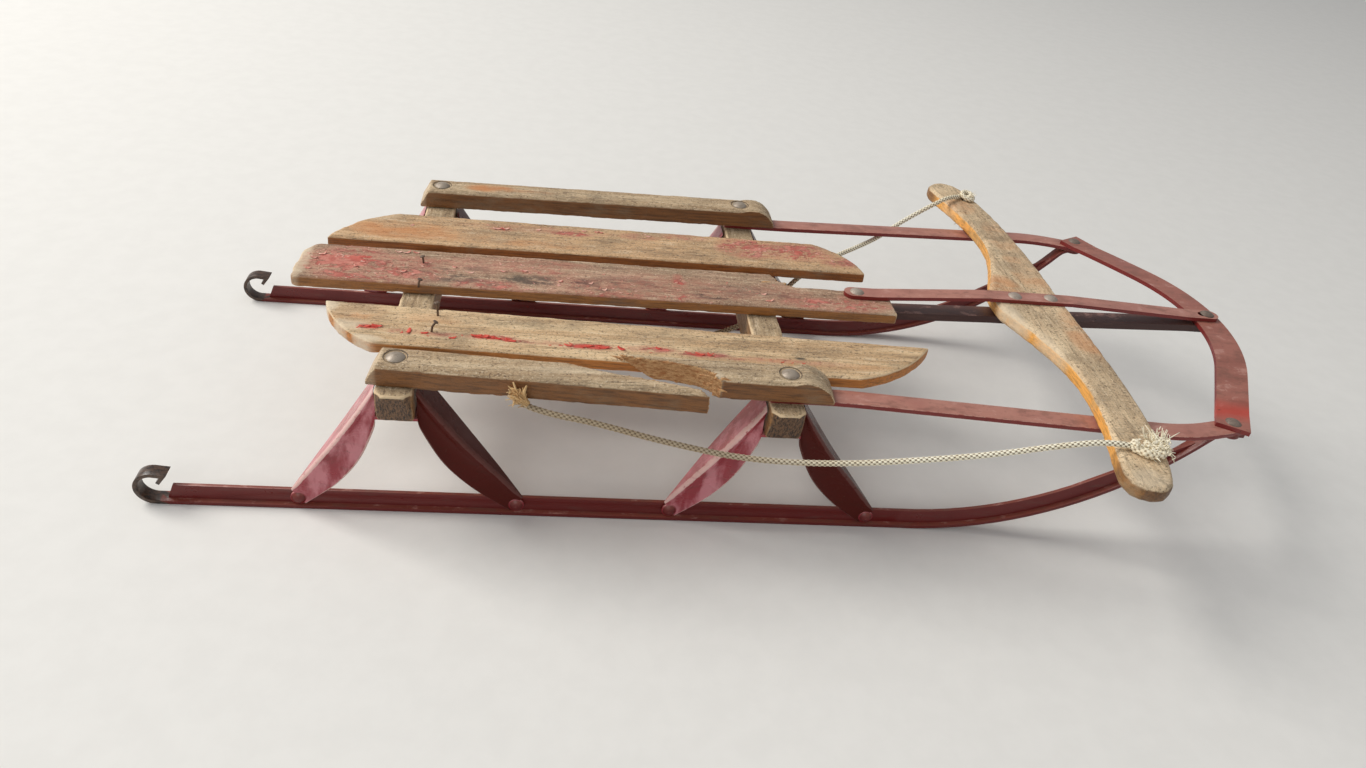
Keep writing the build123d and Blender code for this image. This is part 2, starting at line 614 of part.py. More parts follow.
export_step(steering_bar.part, "parts/steering_bar.step")

# Straps above and below the bar, from the pivot on the centre board to the middle of the bumper
STRAP_TAIL_MARGIN = 12.0
STRAP_NOSE_MARGIN = 11.0
NOSE_SLOT_BACK = 9.5        # slot for the centre rivet, behind and ahead of the rivet's middle
NOSE_SLOT_AHEAD = 5.5
NOSE_PLAY = 0.8             # and beside it
STRAP_LEVEL = 18.0          # strap lying level on the board beyond the pivot
CHANNEL_TAIL_MARGIN = 23.7
CHANNEL_LEVEL = 30.0
BAR_LAP = 8.0               # strap level before the bar's rear edge and beyond its front edge
NOSE_LAP = 22.0             # strap level before the centre rivet
strap_start = station(PIVOT - STRAP_TAIL_MARGIN)
strap_end = centre_rivet_x + STRAP_NOSE_MARGIN
slot_middle = centre_rivet_x + (NOSE_SLOT_AHEAD - NOSE_SLOT_BACK) / 2
slot_size = (NOSE_SLOT_AHEAD + NOSE_SLOT_BACK, 2 * (STRAP_RIVET_SHANK + NOSE_PLAY))
bar_rear_x = bar_x - BAR_HALF_WIDTH
bar_front_x = bar_x + BAR_HALF_WIDTH
strap_holes = [(station(PIVOT), 0)] + [(bar_x + ahead, 0) for ahead in BAR_RIVETS]
bend_nose = centre_rivet_x - NOSE_LAP
bumper_top_mid = bumper_crown + RUN_GAP
bumper_low_mid = bumper_crown - BAR_THICK - RUN_GAP
strap_on_board = BOARD_TOP + RUN_GAP + STRAP_THICK / 2
strap_on_bar = bar_high + STRAP_THICK / 2
strap_on_bumper = bumper_top_mid + STRAP_THICK / 2
strap_line = (
    (strap_start, strap_on_board),
    (station(PIVOT + STRAP_LEVEL), strap_on_board),
    (bar_rear_x - BAR_LAP, strap_on_bar),
    (bar_front_x + BAR_LAP / 2, strap_on_bar),
    (bend_nose, strap_on_bumper),
    (strap_end, strap_on_bumper),
)
with BuildPart() as strap_top:
    with BuildSketch(side_plane(0, 0)):
        with BuildLine():
            Polyline(*strap_line)
        trace(line_width=STRAP_THICK)
    extrude(amount=STRAP_WIDTH / 2, both=True)
    with BuildSketch(Plane.XY.offset(BENCH_TOP)):
        with Locations(((strap_start + strap_end) / 2, 0)):
            SlotOverall(strap_end - strap_start, STRAP_WIDTH)
    extrude(amount=THROUGH, mode=Mode.INTERSECT)
    with BuildSketch(Plane.XY.offset(BENCH_TOP)):
        with Locations(*strap_holes):
            Circle(STRAP_RIVET_SHANK + FIT)
        with Locations((slot_middle, 0)):
            SlotOverall(*slot_size)
    extrude(amount=THROUGH, mode=Mode.SUBTRACT)
strap_top.part.label = "strap_top"
export_step(strap_top.part, "parts/strap_top.step")

channel_line = (
    (station(PIVOT - CHANNEL_TAIL_MARGIN), BENCH_TOP - RUN_GAP),
    (station(PIVOT + CHANNEL_LEVEL), BENCH_TOP - RUN_GAP),
    (bar_rear_x, bar_low),
    (bar_front_x + 2, bar_low),
    (bend_nose, bumper_low_mid),
    (centre_rivet_x + STRAP_NOSE_MARGIN, bumper_low_mid),
)
with BuildPart() as strap_bottom:
    with BuildSketch(side_plane(0, 0)):
        with BuildLine():
            lower = [(x, z - CHANNEL_DEPTH) for x, z in channel_line]
            Polyline(*channel_line, *reversed(lower), close=True)
        make_face()
    extrude(amount=CHANNEL_WIDTH / 2, both=True)
    with BuildSketch(side_plane(0, 0)):
        with BuildLine():
            roof = [(x + dx, z - CHANNEL_WALL) for (x, z), dx in zip(channel_line, (-1, 0, 0, 0, 0, 1))]
            lower = [(x, z - CHANNEL_DEPTH) for x, z in roof]
            Polyline(*roof, *reversed(lower), close=True)
        make_face()
    extrude(amount=CHANNEL_WIDTH / 2 - CHANNEL_WALL, both=True, mode=Mode.SUBTRACT)
    with BuildSketch(Plane.XY.offset(BENCH_BOTTOM)):
        with Locations(*strap_holes):
            Circle(STRAP_RIVET_SHANK + FIT)
        with Locations((slot_middle, 0)):
            SlotOverall(*slot_size)
    extrude(amount=THROUGH, mode=Mode.SUBTRACT)
strap_bottom.part.label = "strap_bottom"
export_step(strap_bottom.part, "parts/strap_bottom.step")

# Rivets of the strap: two hold the bar, one is the pivot in the centre board
pivot_seat = BOARD_TOP + RUN_GAP + STRAP_THICK + FIT
pivot_low = BENCH_TOP - RUN_GAP - CHANNEL_WALL - FIT
with BuildPart() as pivot_rivet:
    reach = pivot_seat - pivot_low + UPSET_HEAD
    rivet([(station(PIVOT), 0, pivot_seat)], STRAP_RIVET_SHANK, reach, STRAP_RIVET_HEAD, STRAP_RIVET_DOME)
    with Locations((station(PIVOT), 0, pivot_low)):
        Cylinder(UPSET_RADIUS, UPSET_HEAD, align=(Align.CENTER, Align.CENTER, Align.MAX))
pivot_rivet.part.label = "pivot_rivet"
export_step(pivot_rivet.part, "parts/pivot_rivet.step")

with BuildPart() as bar_rivets:
    for ahead in BAR_RIVETS:
        seat = bar_high + STRAP_THICK
        reach = seat - bar_low + CHANNEL_WALL + UPSET_HEAD
        rivet([(bar_x + ahead, 0, seat)], STRAP_RIVET_SHANK, reach, STRAP_RIVET_HEAD, STRAP_RIVET_DOME)
        with Locations((bar_x + ahead, 0, bar_low - CHANNEL_WALL)):
            Cylinder(UPSET_RADIUS, UPSET_HEAD, align=(Align.CENTER, Align.CENTER, Align.MAX))
bar_rivets.part.label = "bar_rivets"
export_step(bar_rivets.part, "parts/bar_rivets.step")

# Bumper: a bow of flat bar, crowned in the middle and straight towards its ends
flat_from = END_RIVET_Y - BUMPER_FLAT
flat_to = END_RIVET_Y + BUMPER_WIDTH
bumper_tip_x = end_rivet_x - BUMPER_END_MARGIN * sin(end_slope)
bumper_tip_y = END_RIVET_Y + BUMPER_END_MARGIN * cos(end_slope)
with BuildPart() as bumper:
    with BuildSketch(Plane.XY.offset(bumper_low - 1)):
        with BuildLine():
            Line((bumper_tip_x, -bumper_tip_y), (bow_end_x, -bow_end_y))
            ThreePointArc((bow_end_x, -bow_end_y), (centre_rivet_x, 0), (bow_end_x, bow_end_y))
            Line((bow_end_x, bow_end_y), (bumper_tip_x, bumper_tip_y))
        trace(line_width=BUMPER_WIDTH)
    extrude(amount=BUMPER_RISE + 2 * BAR_THICK)
    with BuildSketch(Plane((0, 0, 0), x_dir=(0, 1, 0), z_dir=(1, 0, 0))):
        with BuildLine():
            end_mid = bumper_low + BAR_THICK / 2
            Line((-flat_to, end_mid), (-flat_from, end_mid))
            ThreePointArc((-flat_from, end_mid), (0, end_mid + BUMPER_RISE), (flat_from, end_mid))
            Line((flat_from, end_mid), (flat_to, end_mid))
        trace(line_width=BAR_THICK)
    extrude(amount=LENGTH, both=True, mode=Mode.INTERSECT)
    with BuildSketch(Plane.XY.offset(bumper_low - 1)):
        with Locations((end_rivet_x, END_RIVET_Y), (end_rivet_x, -END_RIVET_Y), (centre_rivet_x, 0)):
            Circle(STRAP_RIVET_SHANK + FIT)
    extrude(amount=BUMPER_RISE + 2 * BAR_THICK, mode=Mode.SUBTRACT)
bumper.part.label = "bumper"
export_step(bumper.part, "parts/bumper.step")

# Rivets of the nose. The lower heads of the end ones are no wider than the level part of a tab.
with BuildPart() as end_rivets:
    reach = bumper_high - NOSE_STACK + UPSET_HEAD
    for name, side in SIDES:
        top = (end_rivet_x, side * END_RIVET_Y, bumper_high)
        rivet([top], STRAP_RIVET_SHANK, reach, STRAP_RIVET_HEAD, STRAP_RIVET_DOME)
        with Locations((end_rivet_x, side * END_RIVET_Y, NOSE_STACK)):
            Cylinder(TAB_LEAD, UPSET_HEAD, align=(Align.CENTER, Align.CENTER, Align.MAX))
end_rivets.part.label = "nose_end_rivets"
export_step(end_rivets.part, "parts/nose_end_rivets.step")

centre_seat = bumper_top_mid + STRAP_THICK + RUN_GAP
centre_low = bumper_low_mid - CHANNEL_WALL - RUN_GAP
with BuildPart() as centre_rivet:
    reach = centre_seat - centre_low + UPSET_HEAD
    rivet([(centre_rivet_x, 0, centre_seat)], STRAP_RIVET_SHANK, reach, STRAP_RIVET_HEAD, STRAP_RIVET_DOME)
    with Locations((centre_rivet_x, 0, centre_low)):
        Cylinder(UPSET_RADIUS, UPSET_HEAD, align=(Align.CENTER, Align.CENTER, Align.MAX))
centre_rivet.part.label = "nose_centre_rivet"
export_step(centre_rivet.part, "parts/nose_centre_rivet.step")

# Pull cord: knotted on the right arm, slack along the outside, under the right seat rail, across
# below the deck and the front bench, and up to a knot on the left arm
CORD_DIAMETER = 4.5
CORD_ROUTE = (
    # distance from the tail, Y, Z
    (764.4, -224.0, 148.2),
    (742.0, -221.5, 152.0),
    (705.0, -217.5, 143.0),
    (655.0, -213.5, 127.5),
    (595.0, -208.0, 113.5),
    (535.0, -202.0, 102.0),
    (470.0, -196.0, 98.0),
    (405.0, -190.0, 107.0),
    (350.0, -185.0, 119.0),
    (318.0, -184.0, 124.0),
    (293.0, -172.0, 124.3),
    (286.0, -150.0, 124.0),
    (302.0, -128.0, 122.5),
    (335.0, -104.0, 118.0),
    (375.0, -77.0, 111.0),
    (425.0, -37.0, 100.0),
    (463.0, -8.0, 90.0),
    (497.0, 17.0, 88.5),
    (520.0, 38.0, 92.5),
    (541.0, 58.0, 106.5),
    (566.0, 80.0, 117.5),
    (600.0, 111.0, 119.5),
    (636.0, 143.0, 118.0),
    (664.0, 168.0, 118.5),
    (690.0, 188.0, 127.0),
    (712.0, 196.0, 138.4),
    (733.0, 204.5, 147.5),
    (749.0, 212.5, 152.0),
    (763.3, 223.4, 148.2),
)
cord_points = [Vector(station(x), y, z) for x, y, z in CORD_ROUTE]
cord_radii = bend_radii(cord_points)
print("cord radii", [round(radius, 1) for radius in cord_radii])
with BuildPart() as pull_cord:
    with BuildLine() as cord_line:
        FilletPolyline(*cord_points, radius=cord_radii)
    with BuildSketch(Plane(origin=cord_points[0], z_dir=tuple(cord_points[1] - cord_points[0]))):
        Circle(CORD_DIAMETER / 2)
    sweep()
cord_length = cord_line.wires()[0].length
section = pi * CORD_DIAMETER ** 2 / 4
ratio = pull_cord.part.volume / (section * cord_length)
print("cord length", round(cord_length, 1), "volume ratio", round(ratio, 5))
pull_cord.part.label = "pull_cord"
export_step(pull_cord.part, "parts/pull_cord.step")

# Knots in the rope holes: a turn round the hole, a turn over it and the tail through the hole
KNOT_STRAND = 2.3
KNOT_LOW_TURN = 6.0
KNOT_HIGH_TURN = 4.9
KNOT_TILT = 28.0
KNOT_TAIL = 9.0
KNOT_TAIL_RADIUS = 3.5
for name, side in SIDES:
    with BuildPart() as knot:
        hole = (rope_hole_x, side * ROPE_HOLE_Y)
        low_turn = (*hole, bar_high + KNOT_STRAND)
        high_turn = (*hole, bar_high + 2 * KNOT_STRAND + KNOT_STRAND / 3)
        reach = KNOT_STRAND + STEER_BAR_THICK + KNOT_TAIL
        with Locations(low_turn):
            Torus(KNOT_LOW_TURN, KNOT_STRAND)
            Cylinder(KNOT_LOW_TURN, KNOT_STRAND)
            Cylinder(KNOT_TAIL_RADIUS, reach, align=(Align.CENTER, Align.CENTER, Align.MAX))
        with Locations(Location(high_turn, (KNOT_TILT, KNOT_TILT / 2, 0))):
            Torus(KNOT_HIGH_TURN, KNOT_STRAND)
    knot.part.label = f"knot_{name}"
    export_step(knot.part, f"parts/knot_{name}.step")

# Frayed end of the cord, standing up beside the right seat rail
TUFT_FOOT = (302.0, -176.8, 128.3)
TUFT_TIP = (286.5, -177.9, 141.5)
TUFT_NARROW = 2.4
TUFT_WIDE = 5.0
tuft_foot = Vector(station(TUFT_FOOT[0]), *TUFT_FOOT[1:])
tuft_tip = Vector(station(TUFT_TIP[0]), *TUFT_TIP[1:])
tuft_run = tuft_tip - tuft_foot
with BuildPart() as rail_tuft:
    with Locations(Plane(origin=tuft_foot, z_dir=tuple(tuft_run))):
        Cone(TUFT_NARROW, TUFT_WIDE, tuft_run.length, align=(Align.CENTER, Align.CENTER, Align.MIN))
rail_tuft.part.label = "rail_tuft"
export_step(rail_tuft.part, "parts/rail_tuft.step")
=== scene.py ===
"""Looks of an old steerable snow sled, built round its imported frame.

Lengths are in metres, and in millimetres in the tables of places and sizes.
"""

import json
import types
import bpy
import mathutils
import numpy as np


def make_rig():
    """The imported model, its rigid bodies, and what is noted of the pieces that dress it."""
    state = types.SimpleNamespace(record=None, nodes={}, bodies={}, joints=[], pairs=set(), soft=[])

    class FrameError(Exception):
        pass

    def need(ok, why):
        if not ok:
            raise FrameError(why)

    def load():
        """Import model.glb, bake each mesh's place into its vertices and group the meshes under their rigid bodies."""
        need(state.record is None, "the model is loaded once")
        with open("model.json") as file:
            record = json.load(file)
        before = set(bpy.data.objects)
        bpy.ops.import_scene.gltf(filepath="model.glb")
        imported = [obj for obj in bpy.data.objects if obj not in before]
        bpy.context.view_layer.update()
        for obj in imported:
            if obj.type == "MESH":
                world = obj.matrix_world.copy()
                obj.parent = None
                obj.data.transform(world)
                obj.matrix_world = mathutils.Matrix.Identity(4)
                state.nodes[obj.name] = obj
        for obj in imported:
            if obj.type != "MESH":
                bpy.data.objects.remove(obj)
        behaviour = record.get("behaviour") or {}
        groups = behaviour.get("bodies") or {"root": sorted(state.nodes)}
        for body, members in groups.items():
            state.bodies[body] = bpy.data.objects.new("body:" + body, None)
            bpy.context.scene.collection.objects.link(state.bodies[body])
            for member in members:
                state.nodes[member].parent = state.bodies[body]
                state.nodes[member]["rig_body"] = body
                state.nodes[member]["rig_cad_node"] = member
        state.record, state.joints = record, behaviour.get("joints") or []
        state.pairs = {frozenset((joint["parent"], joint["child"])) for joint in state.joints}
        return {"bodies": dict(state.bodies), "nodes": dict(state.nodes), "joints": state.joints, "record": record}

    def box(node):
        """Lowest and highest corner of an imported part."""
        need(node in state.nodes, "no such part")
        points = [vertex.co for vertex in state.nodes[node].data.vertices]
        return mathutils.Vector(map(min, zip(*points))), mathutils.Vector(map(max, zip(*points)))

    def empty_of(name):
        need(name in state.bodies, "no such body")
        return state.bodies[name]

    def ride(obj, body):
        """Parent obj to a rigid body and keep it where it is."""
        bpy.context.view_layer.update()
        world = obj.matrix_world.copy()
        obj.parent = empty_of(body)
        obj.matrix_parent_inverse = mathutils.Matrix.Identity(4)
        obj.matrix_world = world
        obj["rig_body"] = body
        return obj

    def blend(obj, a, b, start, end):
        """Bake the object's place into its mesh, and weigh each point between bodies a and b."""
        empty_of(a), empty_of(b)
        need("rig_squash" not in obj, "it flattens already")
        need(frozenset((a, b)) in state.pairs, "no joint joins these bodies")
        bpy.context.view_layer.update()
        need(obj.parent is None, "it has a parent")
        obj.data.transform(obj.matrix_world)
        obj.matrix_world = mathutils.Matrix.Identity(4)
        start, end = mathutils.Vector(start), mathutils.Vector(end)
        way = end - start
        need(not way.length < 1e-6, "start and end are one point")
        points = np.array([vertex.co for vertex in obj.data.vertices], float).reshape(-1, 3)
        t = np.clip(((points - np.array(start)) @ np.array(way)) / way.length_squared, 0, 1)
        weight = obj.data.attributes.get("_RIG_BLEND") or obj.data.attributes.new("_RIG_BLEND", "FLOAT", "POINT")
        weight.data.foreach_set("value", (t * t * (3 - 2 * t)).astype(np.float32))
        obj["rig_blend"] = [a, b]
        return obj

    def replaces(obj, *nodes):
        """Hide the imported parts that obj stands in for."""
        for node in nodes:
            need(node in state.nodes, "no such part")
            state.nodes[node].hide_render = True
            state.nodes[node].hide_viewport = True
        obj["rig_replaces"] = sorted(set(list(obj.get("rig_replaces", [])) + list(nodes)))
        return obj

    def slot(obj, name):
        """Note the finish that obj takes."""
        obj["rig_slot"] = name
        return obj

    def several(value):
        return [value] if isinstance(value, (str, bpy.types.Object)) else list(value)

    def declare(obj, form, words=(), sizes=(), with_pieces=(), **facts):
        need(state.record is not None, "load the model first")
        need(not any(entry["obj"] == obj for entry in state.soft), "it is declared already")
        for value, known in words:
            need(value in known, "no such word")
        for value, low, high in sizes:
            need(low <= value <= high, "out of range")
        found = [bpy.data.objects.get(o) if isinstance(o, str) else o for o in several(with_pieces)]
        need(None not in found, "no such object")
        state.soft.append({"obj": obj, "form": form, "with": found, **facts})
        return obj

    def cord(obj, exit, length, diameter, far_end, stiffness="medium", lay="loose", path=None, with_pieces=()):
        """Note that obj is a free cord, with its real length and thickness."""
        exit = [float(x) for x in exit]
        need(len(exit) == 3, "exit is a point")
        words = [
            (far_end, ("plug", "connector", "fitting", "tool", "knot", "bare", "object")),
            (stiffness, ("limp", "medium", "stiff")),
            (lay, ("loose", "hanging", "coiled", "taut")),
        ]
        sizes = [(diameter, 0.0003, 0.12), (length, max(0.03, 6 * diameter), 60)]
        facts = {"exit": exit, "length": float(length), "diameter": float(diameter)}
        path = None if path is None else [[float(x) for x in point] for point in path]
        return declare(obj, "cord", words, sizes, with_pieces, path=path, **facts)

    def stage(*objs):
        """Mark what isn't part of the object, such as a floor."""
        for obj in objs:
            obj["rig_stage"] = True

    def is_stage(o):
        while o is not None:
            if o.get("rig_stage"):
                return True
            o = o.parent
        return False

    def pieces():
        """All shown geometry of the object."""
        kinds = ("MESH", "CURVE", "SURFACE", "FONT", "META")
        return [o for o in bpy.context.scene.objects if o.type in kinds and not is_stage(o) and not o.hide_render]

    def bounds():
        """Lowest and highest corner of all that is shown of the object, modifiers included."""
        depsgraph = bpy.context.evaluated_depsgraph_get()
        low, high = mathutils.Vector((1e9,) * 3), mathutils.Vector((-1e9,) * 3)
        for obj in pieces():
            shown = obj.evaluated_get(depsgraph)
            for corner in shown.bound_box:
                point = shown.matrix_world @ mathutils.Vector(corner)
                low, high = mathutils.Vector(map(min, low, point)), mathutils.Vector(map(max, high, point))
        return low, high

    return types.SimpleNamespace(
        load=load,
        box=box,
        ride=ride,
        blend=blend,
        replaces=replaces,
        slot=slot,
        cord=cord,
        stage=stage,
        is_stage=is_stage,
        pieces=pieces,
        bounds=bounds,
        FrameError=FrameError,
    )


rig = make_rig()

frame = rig.load()

import json
from math import cos, floor, pi, radians, sin, sqrt, tau
import random

import bmesh
import bpy
from mathutils import Matrix, Vector, noise
from mathutils.bvhtree import BVHTree

cad_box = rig.bounds()
scene = bpy.context.scene
nodes = frame["nodes"]
slots = {part["node"]: part["material_slot"] for part in frame["record"]["subparts"]}


HALF_LENGTH = 0.48         # from the tip of the tail to the frame's origin


def station(distance_mm, y_mm, z_mm):
    """A point given in millimetres: distance from the tip of the tail, Y and Z."""
    return Vector((distance_mm / 1000 - HALF_LENGTH, y_mm / 1000, z_mm / 1000))


def link(name, data):
    piece = bpy.data.objects.new(name, data)
    scene.collection.objects.link(piece)
    return piece


def linear(screen):
    """A colour in screen values from 0 to 255 as the linear one that Blender uses."""
    shares = [value / 255 for value in screen]
    return (*(s / 12.92 if s <= 0.04045 else ((s + 0.055) / 1.055) ** 2.4 for s in shares), 1.0)


def shade(screen, share):
    """A darker colour than the one given, in linear values."""
    return (*(share * channel for channel in linear(screen)[:3]), 1.0)


# Camera: the photograph's place, direction and lens
PHOTO_WIDTH = 1366
FOCAL_PIXELS = 980
SENSOR = 36.0
CAMERA_PLACE = Vector((-0.1673, -0.7678, 0.5689))
CAMERA_YAW = 0.1714        # radians from +Y towards +X
CAMERA_PITCH = 0.6068      # radians down
CAMERA_ROLL = 0.1508


def make_camera():
    forward = Vector((
        sin(CAMERA_YAW) * cos(CAMERA_PITCH), cos(CAMERA_YAW) * cos(CAMERA_PITCH), -sin(CAMERA_PITCH)
    ))
    right = Vector((cos(CAMERA_YAW), -sin(CAMERA_YAW), 0))
    up = right.cross(forward)
    turn = Matrix.Rotation(-CAMERA_ROLL, 3, forward)
    right, up = turn @ right, turn @ up
    data = bpy.data.cameras.new("camera")
    data.sensor_width = SENSOR
    data.lens = SENSOR * FOCAL_PIXELS / PHOTO_WIDTH
    data.clip_start = 0.01
    camera = link("camera", data)
    axes = Matrix((right, up, -forward)).transposed()
    camera.matrix_world = Matrix.Translation(CAMERA_PLACE) @ axes.to_4x4()
    scene.camera = camera


make_camera()

# Pull cord: the same points as its solid's, in millimetres
CORD_DIAMETER = 0.0045
CORD_ROUTE = (
    (764.4, -224, 148.2), (742, -221.5, 152), (705, -217.5, 143), (655, -213.5, 127.5),
    (595, -208, 113.5), (535, -202, 102), (470, -196, 98), (405, -190, 107),
    (350, -185, 119), (318, -184, 124), (293, -172, 124.3), (286, -150, 124),
    (302, -128, 122.5), (335, -104, 118), (375, -77, 111), (425, -37, 100),
    (463, -8, 90), (497, 17, 88.5), (520, 38, 92.5), (541, 58, 106.5),
    (566, 80, 117.5), (600, 111, 119.5), (636, 143, 118), (664, 168, 118.5),
    (690, 188, 127), (712, 196, 138.4), (733, 204.5, 147.5), (749, 212.5, 152),
    (763.3, 223.4, 148.2),
)


def nurbs_points(name, points):
    """Points close together on the smooth curve that a route controls."""
    curve = bpy.data.curves.new(name, "CURVE")
    curve.dimensions = "3D"
    curve.resolution_u = 24
    spline = curve.splines.new("NURBS")
    spline.points.add(len(points) - 1)
    for point, place in zip(spline.points, points):
        point.co = (*place, 1)
    spline.order_u = 3
    spline.use_endpoint_u = True
    line = link(name, curve)
    mesh = bpy.data.meshes.new_from_object(line)
    found = [vertex.co.copy() for vertex in mesh.vertices]
    bpy.data.objects.remove(line)
    bpy.data.curves.remove(curve)
    bpy.data.meshes.remove(mesh)
    return found


def even_steps(points, step):
    """The same line with its points a step apart, and its length."""
    lengths = [0.0]
    for before, after in zip(points, points[1:]):
        lengths.append(lengths[-1] + (after - before).length)
    count = max(2, round(lengths[-1] / step))
    found, at = [], 0
    for index in range(count + 1):
        wanted = lengths[-1] * index / count
        while at < len(points) - 2 and lengths[at + 1] < wanted:
            at += 1
        span = lengths[at + 1] - lengths[at]
        share = (wanted - lengths[at]) / span if span else 0
        found.append(points[at].lerp(points[at + 1], min(1, share)))
    return found, lengths[-1]


def braid_height(along, around):
    """Height from 0 to 1 of a braid of crossing strands, along counted in strand widths."""
    first, second = around + along, around - along
    lane_first, lane_second = floor(first), floor(second)
    across_first = 2 * (first - lane_first) - 1
    across_second = 2 * (second - lane_second) - 1
    over_first = sqrt(max(0, 1 - 0.9 * across_first ** 2))
    over_second = sqrt(max(0, 1 - 0.9 * across_second ** 2))
    over_first += 0.5 * (-1) ** lane_first * sin(pi * second)
    over_second -= 0.5 * (-1) ** lane_second * sin(pi * first)
    return min(1, max(over_first, over_second) / 1.5)


def point_mark(mesh, name, values):
    """Writes a value for each point, which a material can read."""
    attribute = mesh.attributes.get(name) or mesh.attributes.new(name, "FLOAT", "POINT")
    attribute.data.foreach_set("value", values)


def shade_smooth(mesh, smooth=True):
    mesh.polygons.foreach_set("use_smooth", [smooth] * len(mesh.polygons))


def finished(name, build, smooth=True):
    mesh = bpy.data.meshes.new(name)
    build.to_mesh(mesh)
    build.free()
    shade_smooth(mesh, smooth)
    return link(name, mesh)


def line_frames(points):
    """Each point of a line with two directions across it, which don't twist round the line."""
    side = (points[1] - points[0]).normalized().orthogonal().normalized()
    for index, point in enumerate(points):
        along = (points[min(index + 1, len(points) - 1)] - points[max(index - 1, 0)]).normalized()
        side = (side - along * side.dot(along)).normalized()
        yield index, point, side, along.cross(side)


def skin(build, rings):
    """Faces between rings of points, and over both ends."""
    for ring, following in zip(rings, rings[1:]):
        for corner, start in enumerate(ring):
            after = (corner + 1) % len(ring)
            build.faces.new((start, ring[after], following[after], following[corner]))
    build.faces.new(list(reversed(rings[0])))
    build.faces.new(rings[-1])


STRANDS = 4
STRAND_LENGTH = 0.0042     # of one crossing, along the cord
BRAID_DEPTH, BRAID_SWELL = 0.4, 1.3        # of the cord's radius, and of that depth
LUMPS_A_METRE = 260
ROPE_STEP, ROPE_SIDES = 0.00045, 28


def rope(name, line, diameter, lumps=0.0, crossing=STRAND_LENGTH):
    """A braided cord along a line of points, with its gaps and its length marked."""
    points, length = even_steps(line, ROPE_STEP)
    last, radius = len(points) - 1, diameter / 2
    build = bmesh.new()
    rings, gaps, run = [], [], []
    for index, point, side, other in line_frames(points):
        along = length * index / last / crossing
        swell = 1 + lumps * noise.noise(point * LUMPS_A_METRE)
        ring = []
        for corner in range(ROPE_SIDES):
            share = corner / ROPE_SIDES
            lift = braid_height(along, share * STRANDS)
            reach = swell * radius * (1 - BRAID_DEPTH + BRAID_DEPTH * lift * BRAID_SWELL)
            angle = share * tau
            ring.append(build.verts.new(point + reach * (cos(angle) * side + sin(angle) * other)))
            gaps.append(1 - lift)
            run.append(index / last)
        rings.append(ring)
    skin(build, rings)
    piece = finished(name, build)
    point_mark(piece.data, "gap", gaps)
    point_mark(piece.data, "run", run)
    return piece


def tube(build, points, radii, sides):
    """Adds a plain round tube through a few points to a mesh, closed at both ends."""
    turns = [tau * corner / sides for corner in range(sides)]
    skin(build, [
        [build.verts.new(point + radii[index] * (cos(turn) * side + sin(turn) * other)) for turn in turns]
        for index, point, side, other in line_frames(points)
    ])


route = [station(*place) for place in CORD_ROUTE]
cord_line = nurbs_points("cord_line", route)
cord = rope("braided_cord", cord_line, CORD_DIAMETER)
PATH_STEP = 0.006
cord_path, cord_length = even_steps(cord_line, PATH_STEP)

# Knots at the rope holes: two turns over the hole and the end down through it
KNOT_DIAMETER = 0.98 * CORD_DIAMETER
HOLE_DISTANCE, HOLE_Y, BAR_TOP = 773, 224, 145.6
KNOT_ROUTE = (
    # ahead of the hole, outward from it, above the bar's top
    (-9.2, 0, 2.7), (-4.5, 3.8, 2.9), (1.5, 6.6, 3), (7.2, 4.2, 3), (8.2, -2.2, 2.8), (3.2, -6.8, 2.6),
    (-3.6, -6, 4.2), (-6.6, -0.8, 6.6), (-3.6, 4.6, 7.4), (2.6, 5.2, 6.9), (5.8, 0.6, 6.6), (3, -4, 6),
    (-0.6, -1.8, 3), (0.2, 0, -4), (0, 0.2, -14), (0.4, 0, -22),
)


def knot(name, side):
    places = [
        station(HOLE_DISTANCE + ahead, side * (HOLE_Y + out), BAR_TOP + up) for ahead, out, up in KNOT_ROUTE
    ]
    return rope(name, nurbs_points(name + "_line", places), KNOT_DIAMETER)


# The right knot's loose end lies in a thick roll round it
ROLL_ROUTE = (
    (761, -218, 150), (757.4, -222, 149.2), (758.6, -228.6, 149.2), (763.4, -232, 150.2),
    (768.4, -232.6, 149), (774, -232.6, 150.2), (779.4, -229.4, 149.2), (782.4, -224, 150.6),
    (780, -219.6, 152.4),
)
ROLL_DIAMETER, ROLL_LUMPS, ROLL_CROSSING = 0.0066, 0.35, 0.0038
FIBRE_BEND = 0.35
FIBRE_TAPER = (1.0, 1.0, 0.9, 0.8, 0.5)


def scattered(chance, spread):
    return Vector([chance.gauss(0, spread) for _ in range(3)])


def fibres(name, sources, seed):
    """Loose fibres, in millimetres, from several sources."""
    chance = random.Random(seed)
    build = bmesh.new()
    for root, heading, spread, scatter, count, length, radius in sources:
        for _ in range(count):
            start = station(*root) + scattered(chance, scatter / 1000)
            away = (Vector(heading).normalized() + scattered(chance, spread)).normalized()
            bend = scattered(chance, FIBRE_BEND)
            reach = length / 1000 * chance.uniform(0.6, 1.25)
            points = [start + away * reach * s + bend * reach * s * s for s in (0, 0.25, 0.5, 0.75, 1.0)]
            thick = radius / 1000 * chance.uniform(0.7, 1.2)
            tube(build, points, [thick * share for share in FIBRE_TAPER], 5)
    return finished(name, build)


